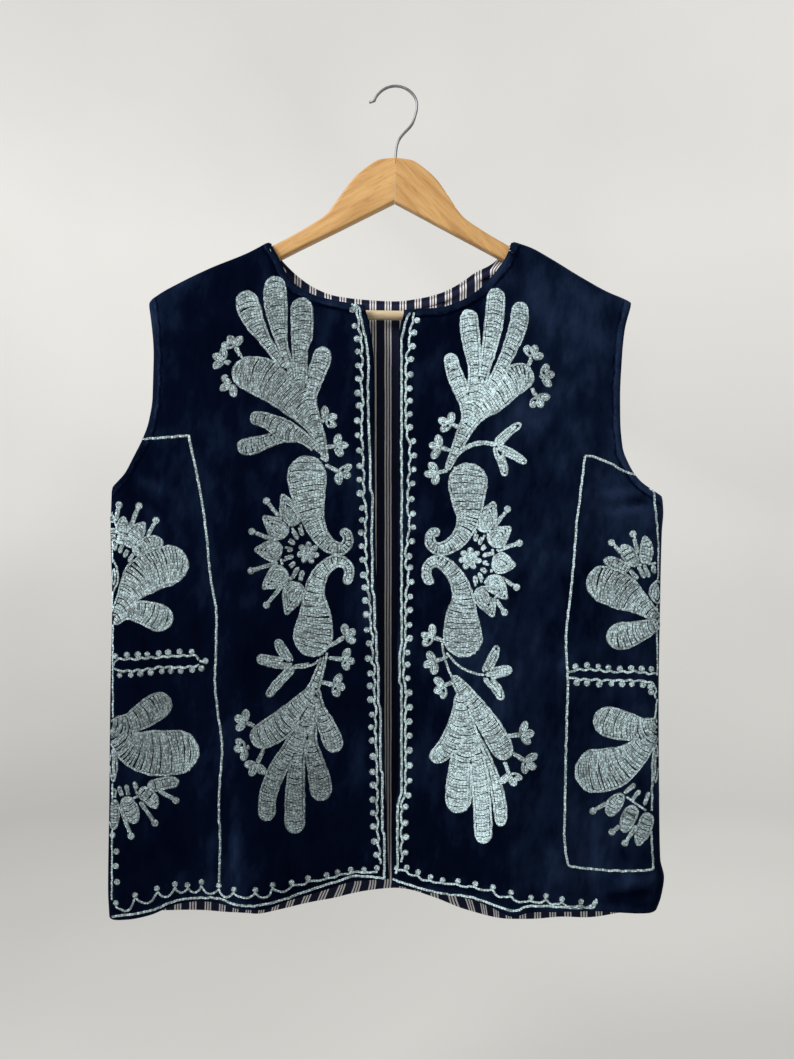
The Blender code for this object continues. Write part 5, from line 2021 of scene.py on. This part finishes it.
def back_seams(grid):
    """Return the back's border lines: free edges and sewn seams."""
    top = border(grid, "top")
    neck = (top[:, 0] >= BACK_NECK[0].across - 1e-6) & (top[:, 0] <= BACK_NECK[-1].across + 1e-6)
    seams = [
        (border(grid, "hem"), "plain"),
        (top[neck], "stitched"),
        (top[top[:, 0] <= BACK_NECK[0].across + 1e-6], "sewn"),
        (top[top[:, 0] >= BACK_NECK[-1].across - 1e-6], "sewn"),
    ]
    for name, front in (("inner", RIGHT_FRONT), ("outer", LEFT_FRONT)):
        line = border(grid, name)
        underarm = front.side[0].height
        seams.append((line[line[:, 1] >= underarm - 1e-6], "stitched"))
        seams.append((line[line[:, 1] <= underarm + 1e-6], "sewn"))
    return seams


def add_stage():
    """Put the garment in a round pale room, whose wall and floor only the camera sees."""
    radius, floor, bend, top = 2.6, -1.25, 0.6, 3.5
    profile = [(floor, 0.0), (floor, radius - bend)]
    for k in range(1, 13):
        angle = math.radians(90 * k / 12)
        rise = floor + bend * (1 - math.cos(angle))
        profile.append((rise, radius - bend + bend * math.sin(angle)))
    profile.append((top, radius))
    mesh = turned_mesh("backdrop", profile, 96, lambda z, a, b: (a, b, z))
    room = add_mesh("backdrop", mesh, backdrop_material())
    room.visible_shadow = False
    room.visible_diffuse = False
    room.visible_glossy = False


def add_light(name, place, size, watts):
    light = bpy.data.lights.new(name, "AREA")
    light.shape = "DISK"
    light.size = size
    light.energy = watts
    light.color = LIGHT_COLOUR
    lamp = add_thing(name, light)
    lamp.location = place
    lamp.rotation_euler = (Vector(LIGHT_AIM) - Vector(place)).to_track_quat("-Z", "Y").to_euler()
    lamp.visible_camera = False


def add_view():
    scene = bpy.context.scene
    camera = bpy.data.cameras.new("view")
    camera.sensor_fit = "VERTICAL"
    camera.sensor_height = SENSOR
    camera.sensor_width = SENSOR
    camera.lens = FOCAL * SENSOR / PICTURE_HEIGHT
    camera.clip_start = 0.02
    eye = add_thing("view", camera)
    eye.location = CAMERA
    eye.rotation_euler = (math.pi / 2, 0, 0)
    scene.camera = eye
    scene.view_settings.view_transform = "Standard"
    world = bpy.data.worlds.new("room")
    world.use_nodes = True
    ground = world.node_tree.nodes["Background"]
    ground.inputs["Color"].default_value = (0.93, 0.92, 0.90, 1.0)
    ground.inputs["Strength"].default_value = 0.50
    scene.world = world


# The lights: place, width and watts. All shine at the waistcoat's middle
LIGHTS = (("key", (-1.45, -1.25, 0.75), 1.0, 46.0), ("rear", (1.3, 1.4, 0.7), 1.1, 34.0))
LIGHT_AIM = (0.0, 0.0, -0.45)
LIGHT_COLOUR = (1.0, 0.99, 0.965)
# Each cloth panel: its facing, its seed, its sheet's flat size and area, and its embroidery, of
# which each part is named, worked and, for the back's left half, mirrored
PANELS = {
    "right_front": (-1, 11, (0.285, 0.680), 0.158, (("right_front", work_right_front, False),)),
    "left_front": (-1, 12, (0.300, 0.680), 0.168, (("left_front", work_left_front, False),)),
    "back": (
        1,
        13,
        (0.585, 0.690),
        0.340,
        (("back_right", work_back_and_spine, False), ("back_left", work_back_half, True)),
    ),
}


def add_panel(name, grid, creases, seams, cloths):
    """Add a panel's velvet, lining and embroidery."""
    facing, seed, flat, area, embroidery = PANELS[name]
    velvet, thread, lining = cloths
    panel = Panel(name, grid, facing, creases, seams, seed)
    for part, work, mirrored in embroidery:
        needle = Needle(seed + mirrored * 50)
        work(needle, panel)
        stitches = needle.laid()
        if mirrored:
            for ends in stitches[:2]:
                ends[:, 0] = 2 * BACK_MIDDLE - ends[:, 0]
        mesh = stitch_mesh(f"embroidery_{part}", panel, stitches, needle.random)
        add_piece(f"embroidery_{part}", mesh, thread)
    cloth = add_piece(f"velvet_{name}", panel.velvet, velvet)
    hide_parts(name)
    inside = add_piece(f"lining_{name}", panel.lining, lining)
    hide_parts(f"{name}_lining")


def add_hanger():
    board = arm_board()
    for name, side, turn in (("hanger_arm_right", -1, -0.50), ("hanger_arm_left", 1, 0.80)):
        beech = wood_material(f"beech_{name}", turn, (0.74, 0.445, 0.175), (0.48, 0.245, 0.078))
        mesh = half_board(board, side, name)
        arm = add_piece(f"{name}_wood", mesh, beech)
        mesh.set_sharp_from_angle(angle=math.radians(50))
        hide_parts(name)
    bpy.data.meshes.remove(board)
    dowel = wood_material("pale_dowel", 0.0, (0.72, 0.60, 0.39), (0.54, 0.42, 0.25), 0.35)
    bar = add_piece("trouser_bar_wood", turned_bar(), dowel)
    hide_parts("trouser_bar")
    hook = add_piece("hook_wire_steel", hook_mesh(), steel_material())
    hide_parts("hook_wire")


def main():
    cloths = (velvet_material(), thread_material(), lining_material())
    for name, front, creases in (
        ("right_front", RIGHT_FRONT, RIGHT_CREASES),
        ("left_front", LEFT_FRONT, LEFT_CREASES),
    ):
        grid = front_grid(front)
        add_panel(name, grid, creases, front_seams(front, grid), cloths)
    grid = back_grid()
    add_panel("back", grid, BACK_CREASES, back_seams(grid), cloths)
    add_hanger()
    add_stage()
    add_view()
    for name, place, size, watts in LIGHTS:
        add_light(name, place, size, watts)


main()
